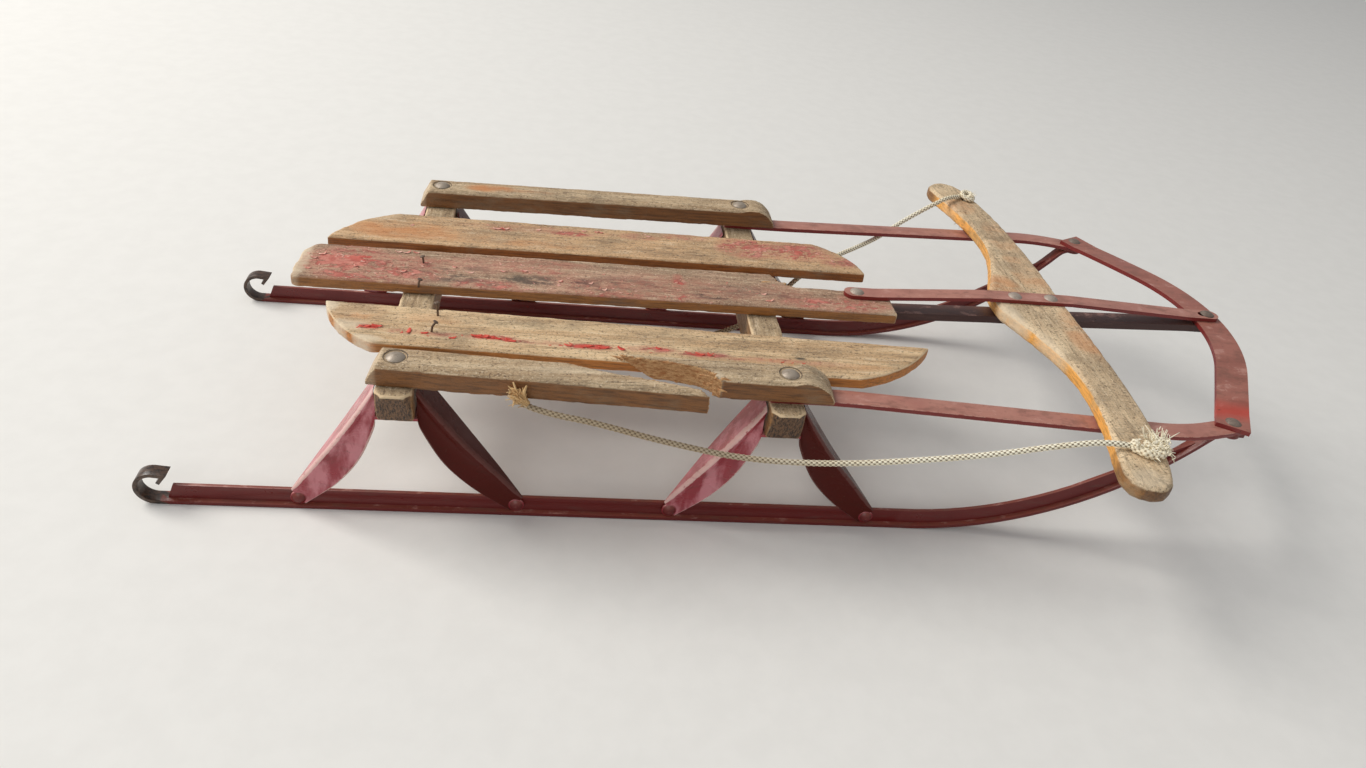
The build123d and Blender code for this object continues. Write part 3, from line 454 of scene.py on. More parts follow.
knots = {"left": knot("left_knot", 1), "right": knot("right_knot", -1)}
roll_line = nurbs_points("roll_line", [station(*place) for place in ROLL_ROUTE])
right_roll = rope("right_knot_roll", roll_line, ROLL_DIAMETER, ROLL_LUMPS, ROLL_CROSSING)
right_brush = fibres("right_knot_fibres", (
    # root, heading, its spread, the root's scatter, how many, length, radius
    ((781, -220, 151.5), (0.5, 0.6, 0.5), 0.22, 1.2, 24, 7.5, 0.5),
    ((775, -217, 152.5), (0.05, 0.75, 0.5), 0.24, 1.2, 18, 7.5, 0.5),
    ((769, -217, 152.5), (-0.5, 0.7, 0.5), 0.2, 0.8, 8, 6.5, 0.45),
    ((782, -227, 148.5), (0.85, -0.5, -0.1), 0.16, 0.8, 5, 8, 0.45),
    ((758, -226, 151.5), (-0.3, -0.3, 0.6), 0.6, 2.4, 30, 2.4, 0.5),
    ((769, -230, 151.5), (0, -0.3, 0.8), 0.7, 3.2, 50, 2.4, 0.5),
    ((778, -227, 151.5), (0.3, 0.1, 0.8), 0.6, 2.8, 50, 2.8, 0.5),
    ((774, -223, 153.5), (0.1, 0.3, 0.8), 0.6, 3.4, 50, 3.4, 0.5),
), 11)
left_brush = fibres("left_knot_fibres", (
    ((777, 221, 151.5), (0.4, -0.6, 0.6), 0.35, 1.2, 16, 4, 0.3),
    ((773, 224, 121), (0, 0, -1), 0.35, 1, 30, 5, 0.32),
), 12)
tail_brush = fibres("right_knot_tail", (
    ((773, -224, 121), (0, 0, -1), 0.35, 1, 30, 5, 0.32),
), 13)
tuft = fibres("rail_tuft_fibres", (
    ((301.5, -177.4, 128.2), (-0.66, -0.12, 0.58), 0.08, 0.8, 26, 13, 0.55),
    ((297, -178, 132), (-0.75, -0.1, 0.5), 0.2, 1.6, 60, 6, 0.55),
    ((292.5, -178.2, 135.5), (-0.7, -0.1, 0.6), 0.35, 1.8, 44, 3.6, 0.5),
    ((301.5, -177.2, 127.8), (-0.7, -0.1, 0.55), 0.05, 0.4, 6, 15, 1.5),
), 14)


# Materials: colours are screen values
class Wiring:
    """A new material, with short ways to add nodes to it."""

    def __init__(self, name, seed):
        self.material = bpy.data.materials.new(name)
        self.material.use_nodes = True
        self.tree = self.material.node_tree
        self.shift = (seed * 0.37, seed * 0.71, seed * 0.13)
        self.place = self.add("TexCoord").outputs["Object"]
        self.facing = self.add("SeparateXYZ", Vector=self.add("NewGeometry").outputs["Normal"]).outputs
        self.at = self.add("SeparateXYZ", Vector=self.place).outputs

    def add(self, kind, **inputs):
        return self.fill(self.tree.nodes.new("ShaderNode" + kind), inputs)

    def fill(self, node, inputs):
        for name, value in inputs.items():
            self.join(value, node.inputs[name.replace("_", " ")])
        return node

    def join(self, source, socket):
        if isinstance(source, (int, float, tuple)):
            socket.default_value = source
        else:
            self.tree.links.new(source, socket)

    def noise(self, scale, detail=4, rough=0.6, distortion=0.0):
        """Cloudy noise from 0 to 1: its scale along each axis in waves a metre, its detail and roughness."""
        place = self.add("Mapping", Vector=self.place, Scale=scale, Location=self.shift).outputs["Vector"]
        texture = self.add(
            "TexNoise", Vector=place, Scale=1.0, Detail=detail, Roughness=rough, Distortion=distortion)
        return texture.outputs["Fac"]

    def ramp(self, value, low, high, to_low=0.0, to_high=1.0):
        """A smooth step from one value to another."""
        node = self.add("MapRange", Value=value, From_Min=low, From_Max=high, To_Min=to_low, To_Max=to_high)
        node.interpolation_type = "SMOOTHSTEP"
        return node.outputs["Result"]

    def math(self, kind, first, second=0.0):
        node = self.add("Math")
        node.operation = kind
        self.join(first, node.inputs[0])
        self.join(second, node.inputs[1])
        return node.outputs[0]

    def both(self, first, *others):
        """The product, so 1 where all are 1."""
        for other in others:
            first = self.math("MULTIPLY", first, other)
        return first

    def band(self, value, centre, half):
        """1 where a value lies near the centre, for thin lines out of a noise."""
        away = self.math("ABSOLUTE", self.math("SUBTRACT", value, centre))
        return self.ramp(away, 0.0, half, 1.0, 0.0)

    def mix(self, share, *tints):
        """A blend of two colours, each an output, linear values or three screen values."""
        node = self.add("Mix")
        node.data_type = "RGBA"
        self.join(share, node.inputs["Factor"])
        for socket, tint in zip((node.inputs[6], node.inputs[7]), tints):
            on_screen = isinstance(tint, tuple) and len(tint) == 3
            self.join(linear(tint) if on_screen else tint, socket)
        return node.outputs[2]

    def washes(self, surface, *rows):
        """Colours over a colour: what places each, from where to where, its strength and its tint."""
        for value, low, high, strength, tint in rows:
            surface = self.mix(self.ramp(value, low, high, 0.0, strength), surface, tint)
        return surface

    def mark(self, name):
        """A value that the mesh carries at each point."""
        node = self.add("Attribute")
        node.attribute_name = name
        return node.outputs["Fac"]

    def bumps(self, *rows):
        """Bumps one upon another: the height, strength and distance of each."""
        normal = None
        for height, strength, distance in rows:
            node = self.add("Bump", Height=height, Strength=strength, Distance=distance)
            if normal is not None:
                self.join(normal, node.inputs["Normal"])
            normal = node.outputs["Normal"]
        return normal

    def done(self, **inputs):
        """The finished material, with these values and outputs on its shader's sockets."""
        shader = next(node for node in self.tree.nodes if node.type == "BSDF_PRINCIPLED")
        self.fill(shader, inputs)
        return self.material


BOLT_DISTANCES, BOLT_SIDE = (203.0, 502.4), 0.152
RING_RADIUS, RING_HALF = 0.0088, 0.0009
VARNISH_TO, VARNISH_GONE = 0.222, 0.242        # how far out the bar's rear edge is varnished


def bolt_gap_shade(w):
    """1 on the rim of the seats that the bolts' heads lie in, where the gap's painted shade goes."""
    ahead = w.math("MINIMUM", *(
        w.math("ABSOLUTE", w.math("SUBTRACT", w.at["X"], station(distance, 0, 0).x))
        for distance in BOLT_DISTANCES
    ))
    aside = w.math("SUBTRACT", w.math("ABSOLUTE", w.at["Y"]), BOLT_SIDE)
    away = w.math("SQRT", w.math("ADD", w.both(ahead, ahead), w.both(aside, aside)))
    return w.band(away, RING_RADIUS, RING_HALF)


def weathered_wood(name, axis, pale, tone, side, seed, rear=None, sawn_and_shaded_ends=False, bolted=False):
    """Old bare wood: grain along an axis, varnish left on the sides, paint and grime where marked."""
    w = Wiring(name, seed)

    def grain(along, across, **more):
        return w.noise((along, across, across) if axis == "x" else (across, along, across), **more)

    bands = grain(6, 90, detail=5, distortion=0.5)
    lines = grain(26, 520, rough=0.7)
    ridges = grain(34, 250, detail=5, rough=0.72, distortion=0.3)
    clouds = w.noise((17, 30, 30), 6, 0.65)
    specks = w.noise((330, 430, 430), 3, 0.75)
    grit = w.noise((620, 900, 900), 3, 0.7)
    cracks = w.band(grain(5, 75, detail=6, distortion=0.7), 0.5, 0.007)
    up = w.facing["Z"]
    top = w.ramp(up, 0.3, 0.62)

    wood = w.washes(
        w.mix(w.ramp(bands, 0.36, 0.64), pale, tone),
        (lines, 0.5, 0.72, 0.6, shade(tone, 0.42)),
        (lines, 0.46, 0.28, 0.45, (232, 208, 172)),
        (clouds, 0.44, 0.66, 0.6, (150, 128, 100)),
        (ridges, 0.52, 0.66, 0.5, shade(tone, 0.5)),
        (ridges, 0.46, 0.34, 0.4, (238, 216, 182)),
        (specks, 0.55, 0.66, 0.75, (92, 68, 48)),
        (grit, 0.57, 0.66, 0.65, (236, 218, 188)),
        (grit, 0.42, 0.34, 0.5, (104, 80, 58)),
    )
    wood = w.mix(w.both(cracks, 0.55), wood, (70, 50, 34))
    wood = w.mix(w.both(w.mark("varnish"), w.ramp(clouds, 0.4, 0.56, 1.0, 0.2)), wood, (200, 124, 64))

    stain = w.mix(w.ramp(lines, 0.4, 0.68), side, shade(side, 0.5))
    stain = w.washes(stain, (clouds, 0.5, 0.7, 0.6, shade(tone, 0.5)))
    if rear is not None:
        behind = w.ramp(w.both(w.facing["X"], -1.0), 0.3, 0.55)
        inboard = w.ramp(w.math("ABSOLUTE", w.at["Y"]), VARNISH_TO, VARNISH_GONE, 1.0, 0.15)
        amber = w.mix(w.ramp(lines, 0.4, 0.66), rear, shade(rear, 0.6))
        amber = w.washes(amber, (clouds, 0.52, 0.64, 0.5, (214, 176, 120)))
        stain = w.mix(w.both(behind, inboard), stain, amber)
    if sawn_and_shaded_ends:
        # Bench ends: real saw marks in a dark tone that is painted shade on the end faces
        ends = w.ramp(w.math("ABSOLUTE", w.facing["Y"]), 0.55, 0.75)
        cuts = w.noise((900, 60, 260), 3, 0.7)
        stain = w.mix(ends, stain, w.mix(w.ramp(cuts, 0.42, 0.6), (120, 88, 60), (44, 30, 20)))
    surface = w.mix(top, stain, wood)

    rub = w.noise((60, 90, 90), 5, 0.7)
    bright = w.ramp(w.math("ADD", w.mark("arris"), w.both(rub, 0.9)), 1.0, 1.3)
    surface = w.mix(w.both(bright, w.ramp(up, -0.15, 0.35, 0.15, 0.9)), surface, (224, 196, 156))
    surface = w.mix(w.both(w.mark("bleach"), w.ramp(rub, 0.3, 0.55, 0.6, 1.0)), surface, (226, 206, 176))
    blots = w.ramp(w.noise((46, 120, 120), 9, 0.78), 0.45, 0.52)
    surface = w.mix(w.both(w.mark("grime"), blots), surface, (58, 57, 50))
    if bolted:
        # Painted shade: a dark ring in the gap round each bolt's head
        surface = w.mix(w.both(top, bolt_gap_shade(w), 0.85), surface, (50, 38, 28))

    flakes = w.noise((110, 210, 210), 8, 0.74)
    upward = w.ramp(up, 0.2, 0.6)
    broken = w.ramp(w.noise((30, 60, 60), 7, 0.7), 0.36, 0.58, 0.5, 1.12)
    density = w.both(w.mark("paint"), upward, broken)
    wash = w.both(density, w.ramp(clouds, 0.34, 0.6, 0.6, 1.0), w.ramp(flakes, 0.4, 0.52, 0.3, 1.0))
    surface = w.mix(wash, surface, (190, 112, 94))
    fresh = w.both(w.mark("fresh"), upward)
    left = w.ramp(w.math("ADD", w.both(density, 0.62), flakes), 0.95, 1.0)
    left = w.math("MAXIMUM", left, w.ramp(w.math("ADD", w.both(fresh, 0.75), flakes), 1.04, 1.08))
    hue = w.mix(fresh, w.mix(w.ramp(rub, 0.4, 0.6), (184, 96, 82), (214, 140, 122)), (206, 64, 50))
    surface = w.mix(w.both(left, 0.9), surface, hue)

    torn = w.mark("torn")
    splinter = w.noise((170, 620, 620), 6, 0.8)
    surface = w.mix(torn, surface, w.mix(w.ramp(splinter, 0.4, 0.62), (252, 204, 144), (204, 130, 74)))
    rough = w.mix(w.math("MAXIMUM", top, torn), (0.5, 0.5, 0.5, 1.0), (0.78, 0.78, 0.78, 1.0))
    return w.done(Base_Color=surface, Roughness=rough, Normal=w.bumps(
        (bands, 0.3, 0.0012),
        (ridges, 0.6, 0.0012),
        (lines, 0.5, 0.0005),
        (w.math("ADD", w.both(specks, -1.0), grit), 0.6, 0.001),
        (w.both(cracks, -1.0), 0.5, 0.0005),
        (left, 0.8, 0.0006),
        (w.both(torn, splinter), 1.0, 0.003),
    ))


def old_paint(name, deep, faded_and_lit, seed, gloss=0.42, patch=None, legs=False):
    """Red paint on steel: deep on the sides, chalky and lighter on the tops (real chalking and painted light from
    above), with chips and rust.
    """
    w = Wiring(name, seed)
    more = {}
    clouds = w.noise((18, 30, 30), 6)
    streaks = w.noise((28, 170, 170), 5, 0.65)
    stains = w.noise((52, 80, 80), 7, 0.7)
    # The tops are chalky and lighter: partly the paint's real chalking, partly painted light from above
    chalk_and_top_light = w.both(w.ramp(w.facing["Z"], 0.15, 0.85), w.ramp(clouds, 0.3, 0.6, 0.72, 1.0))
    surface = w.washes(
        w.mix(chalk_and_top_light, deep, faded_and_lit),
        (clouds, 0.5, 0.7, 0.3, shade(deep, 0.55)),
        (streaks, 0.52, 0.72, 0.35, (96, 66, 56)),
    )
    surface = w.mix(w.both(chalk_and_top_light, w.ramp(stains, 0.5, 0.62, 0, 0.5)), surface, (120, 80, 66))
    surface = w.mix(w.both(chalk_and_top_light, w.ramp(stains, 0.44, 0.34, 0, 0.45)), surface, (206, 158, 144))
    if patch is not None:
        from_y, full_y, gone_y = patch
        aside = w.math("ADD", w.at["Y"], w.both(clouds, 0.03))
        redder = w.both(w.ramp(aside, from_y, full_y), w.ramp(aside, full_y, gone_y, 1.0, 0.0), 0.8)
        surface = w.mix(redder, surface, (190, 62, 46))
    breaks = w.noise((160, 240, 240), 5, 0.7)
    worn = w.ramp(w.math("ADD", w.mark("arris"), w.both(breaks, 0.9)), 1.15, 1.3)
    if legs:
        # Painted light and shade on the knees: a painted highlight in pale pink on the rear legs, painted shade in
        # dark brown on the front legs, whose pale worn edges and specular level are also held back
        leg = w.mark("leg")        # 1 on the rear legs, -1 on the front legs
        lit = w.both(w.ramp(leg, 0.0, 1.0), w.ramp(w.noise((60, 60, 24), 5), 0.42, 0.62, 0.0, 0.6))
        surface = w.mix(lit, surface, (222, 150, 156))
        surface = w.mix(w.ramp(leg, 0.0, -1.0, 0.0, 0.88), surface, (64, 25, 13))
        worn = w.both(worn, w.ramp(leg, 0.0, -1.0, 1.0, 0.1))
        more["Specular_IOR_Level"] = w.ramp(leg, 0.0, -1.0, 0.5, 0.08)
    surface = w.mix(w.both(worn, 0.85), surface, (218, 180, 170))
    pits = w.noise((230, 300, 300), 6, 0.75)
    chips = w.ramp(pits, 0.63, 0.68)
    rust = w.mix(w.ramp(w.noise((700, 700, 700), 3), 0.4, 0.6), (62, 40, 32), (112, 72, 52))
    surface = w.mix(w.both(chips, 0.8), surface, rust)
    bare = w.ramp(w.math("ADD", w.mark("rust"), w.both(clouds, 0.6)), 0.8, 1.0)
    surface = w.mix(bare, surface, w.mix(w.ramp(pits, 0.42, 0.6), (84, 62, 48), (46, 34, 27)))
    rough = w.math("ADD", w.ramp(clouds, 0.3, 0.7, gloss - 0.08, gloss + 0.14), w.both(chips, 0.3))
    normal = w.bumps((pits, 0.2, 0.0005), (chips, 0.4, 0.0002))
    return w.done(Base_Color=surface, Roughness=rough, Normal=normal, **more)


def rubbed_edge(name, paint, worn, seed):
    """The edges of painted steel: paint broken by bright and rusty wear."""
    w = Wiring(name, seed)
    breaks = w.noise((140, 260, 260), 5, 0.7)
    surface = w.mix(w.ramp(breaks, 0.42, 0.56), paint, worn)
    surface = w.mix(w.ramp(breaks, 0.6, 0.7), surface, (74, 50, 42))
    rough = w.ramp(breaks, 0.4, 0.6, 0.4, 0.62)
    return w.done(Base_Color=surface, Roughness=rough, Normal=w.bumps((breaks, 0.3, 0.0003)))


def dull_steel(name, tint, dark, seed, rim=False):
    """Steel gone dull, with painted shade on the rim where it turns away from the top."""
    w = Wiring(name, seed)
    specks = w.noise((650, 650, 650), rough=0.7)
    clouds = w.noise((210, 210, 210), 3)
    surface = w.washes(tint, (clouds, 0.45, 0.7, 0.5, dark), (specks, 0.58, 0.7, 0.7, shade(dark, 0.55)))
    if rim:
        # Painted shade on the sides of the heads, darker the further they turn from the top
        surface = w.mix(w.ramp(w.facing["Z"], 0.6, 0.86, 0.8, 0.0), surface, shade(dark, 0.3))
    rough = w.ramp(specks, 0.3, 0.7, 0.4, 0.6)
    return w.done(Base_Color=surface, Metallic=0.3, Roughness=rough, Normal=w.bumps((specks, 0.3, 0.0003)))


def cotton(name, clean, tan, seed, dirty=False):
    """Cotton: painted shade in the gaps of its braid, and the dirty one dirtier where it ran under the rail."""
    w = Wiring(name, seed)
    clouds = w.noise((55, 55, 55))
    threads = w.noise((2200, 2200, 2200), 2)
    surface = w.washes(clean, (clouds, 0.38, 0.66, 0.6, tan))
    if dirty:
        away = w.math("ABSOLUTE", w.math("SUBTRACT", w.mark("run"), 0.5))
        surface = w.mix(w.ramp(away, 0.2, 0.34, 0.75, 0.0), surface, (150, 124, 92))
    # Painted shade in the braid's gaps, deeper on the dirty cord
    gap = (0.14, 0.44, 0.95, (104, 82, 56)) if dirty else (0.2, 0.5, 0.85, (140, 112, 78))
    surface = w.washes(surface, (w.mark("gap"), *gap), (threads, 0.5, 0.75, 0.35, shade(tan, 0.5)))
    return w.done(Base_Color=surface, Roughness=0.92, Normal=w.bumps((threads, 0.4, 0.0002)))


centre_wood = weathered_wood("centre_board_wood", "x", (192, 156, 128), (166, 130, 104), (164, 108, 52), 1)
left_wood = weathered_wood("left_board_wood", "x", (218, 176, 130), (200, 160, 118), (164, 96, 36), 2)
right_wood = weathered_wood("right_board_wood", "x", (230, 198, 154), (206, 168, 124), (206, 132, 60), 3)
rail_wood = weathered_wood("rail_wood", "x", (206, 180, 144), (182, 152, 116), (136, 88, 44), 4, bolted=True)
bench_wood = weathered_wood(
    "bench_wood", "y", (206, 180, 142), (180, 152, 116), (160, 116, 70), 5, sawn_and_shaded_ends=True)
bar_wood = weathered_wood(
    "bar_wood", "y", (234, 206, 166), (210, 180, 142), (120, 80, 44), 6, rear=(255, 182, 88))
frame_paint = old_paint("frame_paint", (122, 34, 30), (184, 128, 112), 1)
bumper_paint = old_paint("bumper_paint", (122, 34, 30), (166, 106, 90), 2, patch=(-0.152, -0.132, -0.108))
# The channel under the strap is painted dark: a painted shadow of the strap
channel_shadow_paint = old_paint("channel_shadow_paint", (62, 32, 28), (98, 68, 60), 14)
runner_paint = old_paint("runner_paint", (102, 17, 12), (138, 72, 58), 3, gloss=0.34)
knee_paint = old_paint("knee_paint", (150, 46, 56), (206, 134, 132), 4, gloss=0.24, legs=True)
edge_paint = rubbed_edge("rubbed_edge", (150, 78, 68), (196, 148, 132), 5)
rivet_steel = dull_steel("rivet_steel", (176, 162, 148), (132, 112, 98), 6)
nose_steel = dull_steel("nose_steel", (134, 118, 106), (88, 70, 60), 15, rim=True)
bolt_steel = dull_steel("bolt_steel", (168, 154, 138), (118, 100, 84), 7, rim=True)
nail_steel = dull_steel("nail_steel", (112, 92, 76), (74, 54, 42), 8)
cord_cotton = cotton("cord_cotton", (255, 248, 224), (236, 220, 184), 9, dirty=True)
loose_cotton = cotton("loose_cotton", (252, 244, 222), (230, 214, 180), 10)
roll_cotton = cotton("roll_cotton", (248, 238, 212), (224, 206, 170), 14)
golden_cotton = cotton("golden_cotton", (222, 186, 134), (158, 112, 62), 11)
chip_paint = rubbed_edge("paint_chips", (206, 122, 106), (230, 182, 162), 12)
fresh_chip_paint = rubbed_edge("fresh_paint_chips", (206, 60, 44), (222, 96, 76), 13)


def give(obj, *materials):
    obj.data.materials.clear()
    for material in materials:
        obj.data.materials.append(material)


def dress(piece, material, body, slot, node=None):
    """A piece's material, the body that carries it, its slot and the node that it replaces."""
    give(piece, material)
    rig.ride(piece, body)
    if node is not None:
        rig.replaces(piece, node)
    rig.slot(piece, slot)


def surface_of(mesh):
    return BVHTree.FromPolygons([v.co for v in mesh.vertices], [p.vertices[:] for p in mesh.polygons])


def apply_modifiers(piece):
    piece.data = bpy.data.meshes.new_from_object(piece.evaluated_get(bpy.context.evaluated_depsgraph_get()))
    piece.modifiers.clear()


# Worn copies of the wooden nodes, with rubbed edges, dents and torn faces
CENTRE, LEFT, RIGHT = "deck_board_centre", "deck_board_left", "deck_board_right"
SWING = {        # the bolt's distance and the angle in degrees
    "seat_rail_right_rear": (203.0, 4.4),
    "seat_rail_right_front": (502.4, 2.7),
}
RAIL_Y, RAIL_HALF_WIDTH, SIDE_SEAT = -152, 0.014, 0.0008
BREAK_FROM, BREAK_TO, UNDERCUT_TO = (station(distance, 0, 0).x for distance in (320, 456, 410))
STEP_FROM, STEP_TO = (station(distance, 0, 0).x for distance in (515, 545))
STEP_INNER_Y, STEP_OUTER_Y = 0.0085, 0.0300


def is_torn(node, place, normal):
    """Whether a place on a node is on its break, and not on a planed or sawn side."""
    if node in SWING:
        bolt, degrees = SWING[node]
        turn = Matrix.Rotation(radians(degrees), 3, "Z")
        facing = turn @ normal
        local = turn @ (place - station(bolt, RAIL_Y, 0))
        inside = abs(abs(local.y) - RAIL_HALF_WIDTH) > SIDE_SEAT or abs(facing.y) < 0.9
        upright = abs(facing.z) < 0.5 and (node.endswith("front") or abs(facing.x) < 0.95)
        undercut = facing.z < -0.2 and facing.x < -0.2 and place.x < UNDERCUT_TO
        return (inside and upright and BREAK_FROM < place.x < BREAK_TO) or undercut
    if node == CENTRE:
        step = STEP_FROM < place.x < STEP_TO and STEP_INNER_Y < place.y < STEP_OUTER_Y
        return step and abs(normal.z) < 0.5
    return False


# The centre board's tail is squarer than its solid's: Y in millimetres and how far it reaches on
TAIL_REACH = ((-32, 13.5), (-21.5, 9.5), (-10, 4.5), (0, 2.5), (10, 4.0), (17, 6.0), (32, 3.0))
TAIL_FULL, TAIL_NONE = 118, 150


def tail_reach(place):
    distance = 1000 * (place.x + HALF_LENGTH)
    if distance > TAIL_NONE:
        return 0.0
    share = min(1, (TAIL_NONE - distance) / (TAIL_NONE - TAIL_FULL))
    for (y, reach), (next_y, next_reach) in zip(TAIL_REACH, TAIL_REACH[1:]):
        if 1000 * place.y <= next_y:
            part = max(0, (1000 * place.y - y) / (next_y - y))
            return share * (reach + (next_reach - reach) * part) / 1000
    return share * TAIL_REACH[-1][1] / 1000


RUBBINGS, ARRIS_DEPTH = 5, 0.0007
RUB_LEAST, RUB_MOST = 0.35, 1.15
RAG_DEPTH = 0.0009


def worn_copy(node, voxel, wear, dent):
    """A dense copy of a node: its flat faces kept, its edges rubbed down by up to the share wear."""
    source = nodes[node].data
    piece = link(node + "_worn", source.copy())
    remesh = piece.modifiers.new("remesh", "REMESH")
    remesh.mode = "VOXEL"
    remesh.voxel_size = voxel
    apply_modifiers(piece)
    dense = piece.data
    faces = surface_of(source)
    torn = []
    for vertex in dense.vertices:
        place, normal, _, _ = faces.find_nearest(vertex.co)
        vertex.co = place
        if node == CENTRE:
            vertex.co.x -= tail_reach(place)
        torn.append(1.0 if is_torn(node, place, normal) else 0.0)
    build = bmesh.new()
    build.from_mesh(dense)
    build.normal_update()
    sharp = [vertex.co.copy() for vertex in build.verts]
    facing = [vertex.normal.copy() for vertex in build.verts]
    axes = {"use_axis_x": True, "use_axis_y": True, "use_axis_z": True}
    for _ in range(RUBBINGS):
        bmesh.ops.smooth_vert(build, verts=build.verts, factor=0.5, **axes)
    arris = []
    for vertex, place, normal, is_ragged in zip(build.verts, sharp, facing, torn):
        moved = vertex.co - place
        arris.append(max(0, min(1, -moved.dot(normal) / ARRIS_DEPTH)))
        rubbed = RUB_LEAST + wear * max(0, noise.noise(place * 60) + 0.5 * noise.noise(place * 190))
        if is_ragged:
            lift = RAG_DEPTH * noise.noise(Vector((place.x * 300, place.y * 900, place.z * 900)))
        else:
            lift = dent * min(0, noise.noise(place * 70) + 0.5 * noise.noise(place * 240))
        vertex.co = place + moved * min(RUB_MOST, rubbed) + normal * lift
    build.to_mesh(dense)
    build.free()
    shade_smooth(dense)
    point_mark(dense, "arris", arris)
    point_mark(dense, "torn", torn)
    return piece


def patches(mesh, name, spots):
    """Marks soft ellipses on a board."""
    values = []
    ready = [(station(x, y, 0), long / 1000, wide / 1000, share / 100) for x, y, long, wide, share in spots]
    for vertex in mesh.vertices:
        best = 0.0
        for centre, long, wide, strength in ready:
            off = ((vertex.co.x - centre.x) / long) ** 2 + ((vertex.co.y - centre.y) / wide) ** 2
            if off < 1:
                best = max(best, strength * (1 - off * off))
        values.append(best)
    point_mark(mesh, name, values)


BOARD_MARKS = {
    # distance, Y, half length, half width in millimetres, and strength in percent
    CENTRE: {
        "paint": (
            (144, -2, 46, 34, 95), (170, -20, 36, 16, 85), (194, -6, 36, 28, 70), (262, -26, 36, 13, 78),
            (250, 8, 60, 16, 50), (400, -10, 120, 26, 42), (350, -30, 60, 10, 65), (300, 18, 60, 10, 50),
            (300, 6, 30, 10, 66), (298, -34, 34, 9, 78), (345, -14, 50, 22, 42), (372, -20, 34, 16, 45),
            (402, -27, 26, 7, 60), (428, -10, 10, 30, 82), (570, -20, 66, 12, 82), (600, -10, 34, 12, 60),
            (214, -6, 20, 24, 45), (520, -4, 36, 16, 30),
        ),
        "fresh": ((298, -35, 24, 6, 80), (150, 8, 16, 7, 50), (302, 6, 16, 4, 50), (428, -14, 6, 18, 45)),
        "grime": (
            (212, -10, 20, 18, 40), (236, -18, 26, 10, 75), (258, -22, 14, 7, 60), (250, 2, 14, 6, 50),
            (300, -12, 34, 10, 80), (332, -10, 26, 8, 95), (350, -16, 24, 14, 60), (380, -6, 40, 14, 45),
            (456, -20, 20, 5, 95), (400, -42, 40, 10, 50), (480, -6, 50, 12, 35), (524, -12, 8, 5, 60),
        ),
        "bleach": ((103, 0, 7, 34, 85), (640, -12, 20, 30, 50)),
        "varnish": ((140, -34, 60, 6, 30),),
    },
    LEFT: {
        "paint": (
            (266, 82, 14, 5, 70), (330, 82, 26, 6, 72), (396, 86, 24, 8, 55), (440, 92, 30, 8, 60),
            (500, 78, 34, 24, 82), (548, 78, 46, 22, 88), (592, 62, 24, 12, 70), (300, 86, 80, 8, 30),
        ),
        "fresh": ((266, 82, 8, 3, 90), (342, 81, 14, 4, 40), (560, 70, 30, 12, 35)),
        "grime": ((430, 60, 46, 12, 30), (366, 70, 20, 10, 30), (508, 93, 4, 2, 90), (508, 65, 4, 2, 90)),
        "varnish": ((176, 66, 54, 20, 60), (236, 60, 40, 12, 40), (300, 56, 60, 8, 30)),
        "bleach": ((152, 92, 20, 12, 30),),
    },
    RIGHT: {
        "paint": (
            (176, -101, 12, 5, 80), (205, -105, 20, 4, 75), (232, -107, 24, 4, 65), (270, -107, 24, 5, 85),
            (306, -110, 24, 4, 75), (350, -112, 38, 5, 85), (396, -111, 26, 6, 75), (438, -114, 26, 5, 80),
            (490, -117, 40, 4, 60), (540, -118, 24, 4, 40),
        ),
        "fresh": (
            (176, -101, 11, 4, 100), (206, -105, 8, 2.5, 80), (266, -107, 16, 4, 100), (284, -110, 8, 3, 90),
            (350, -112, 28, 4, 90), (436, -114, 14, 4, 80), (404, -109, 10, 4, 50),
        ),
        "grime": ((480, -96, 40, 10, 30), (300, -84, 60, 8, 20), (520, -112, 5, 2, 90)),
        "varnish": ((165, -84, 24, 20, 50), (230, -84, 40, 8, 25), (520, -120, 90, 6, 30)),
        "bleach": ((150, -100, 30, 9, 75), (168, -118, 22, 7, 90), (136, -72, 12, 12, 90)),
    },
    "seat_rail_left": {
        "varnish": ((250, 150, 30, 9, 75), (290, 148, 30, 5, 40)),
        "grime": ((350, 146, 60, 8, 30),),
        "bleach": ((186, 152, 7, 16, 60),),
    },
    "seat_rail_right_rear": {
        "grime": ((240, -146, 20, 6, 30),),
        "bleach": ((186, -152, 8, 16, 50), (330, -160, 40, 6, 30)),
    },
    "seat_rail_right_front": {
        "grime": ((520, -152, 16, 12, 30),),
        "bleach": ((444, -160, 5, 8, 60),),
    },
    "steering_bar": {
        "grime": (
            (775, 90, 34, 34, 15), (768, 150, 30, 40, 25), (778, -150, 24, 50, 15), (772, -200, 20, 16, 30),
            (748, 262, 14, 10, 30), (770, -258, 12, 6, 30),
        ),
        "varnish": (
            (745, 20, 20, 30, 60), (782, 60, 20, 50, 45), (780, 130, 20, 40, 35), (790, -60, 18, 50, 50),
            (762, 205, 18, 22, 45),
        ),
        "bleach": (
            (733, -40, 12, 40, 80), (750, -90, 9, 40, 55), (745, 190, 8, 30, 40), (756, -255, 16, 12, 50),
        ),
    },
}
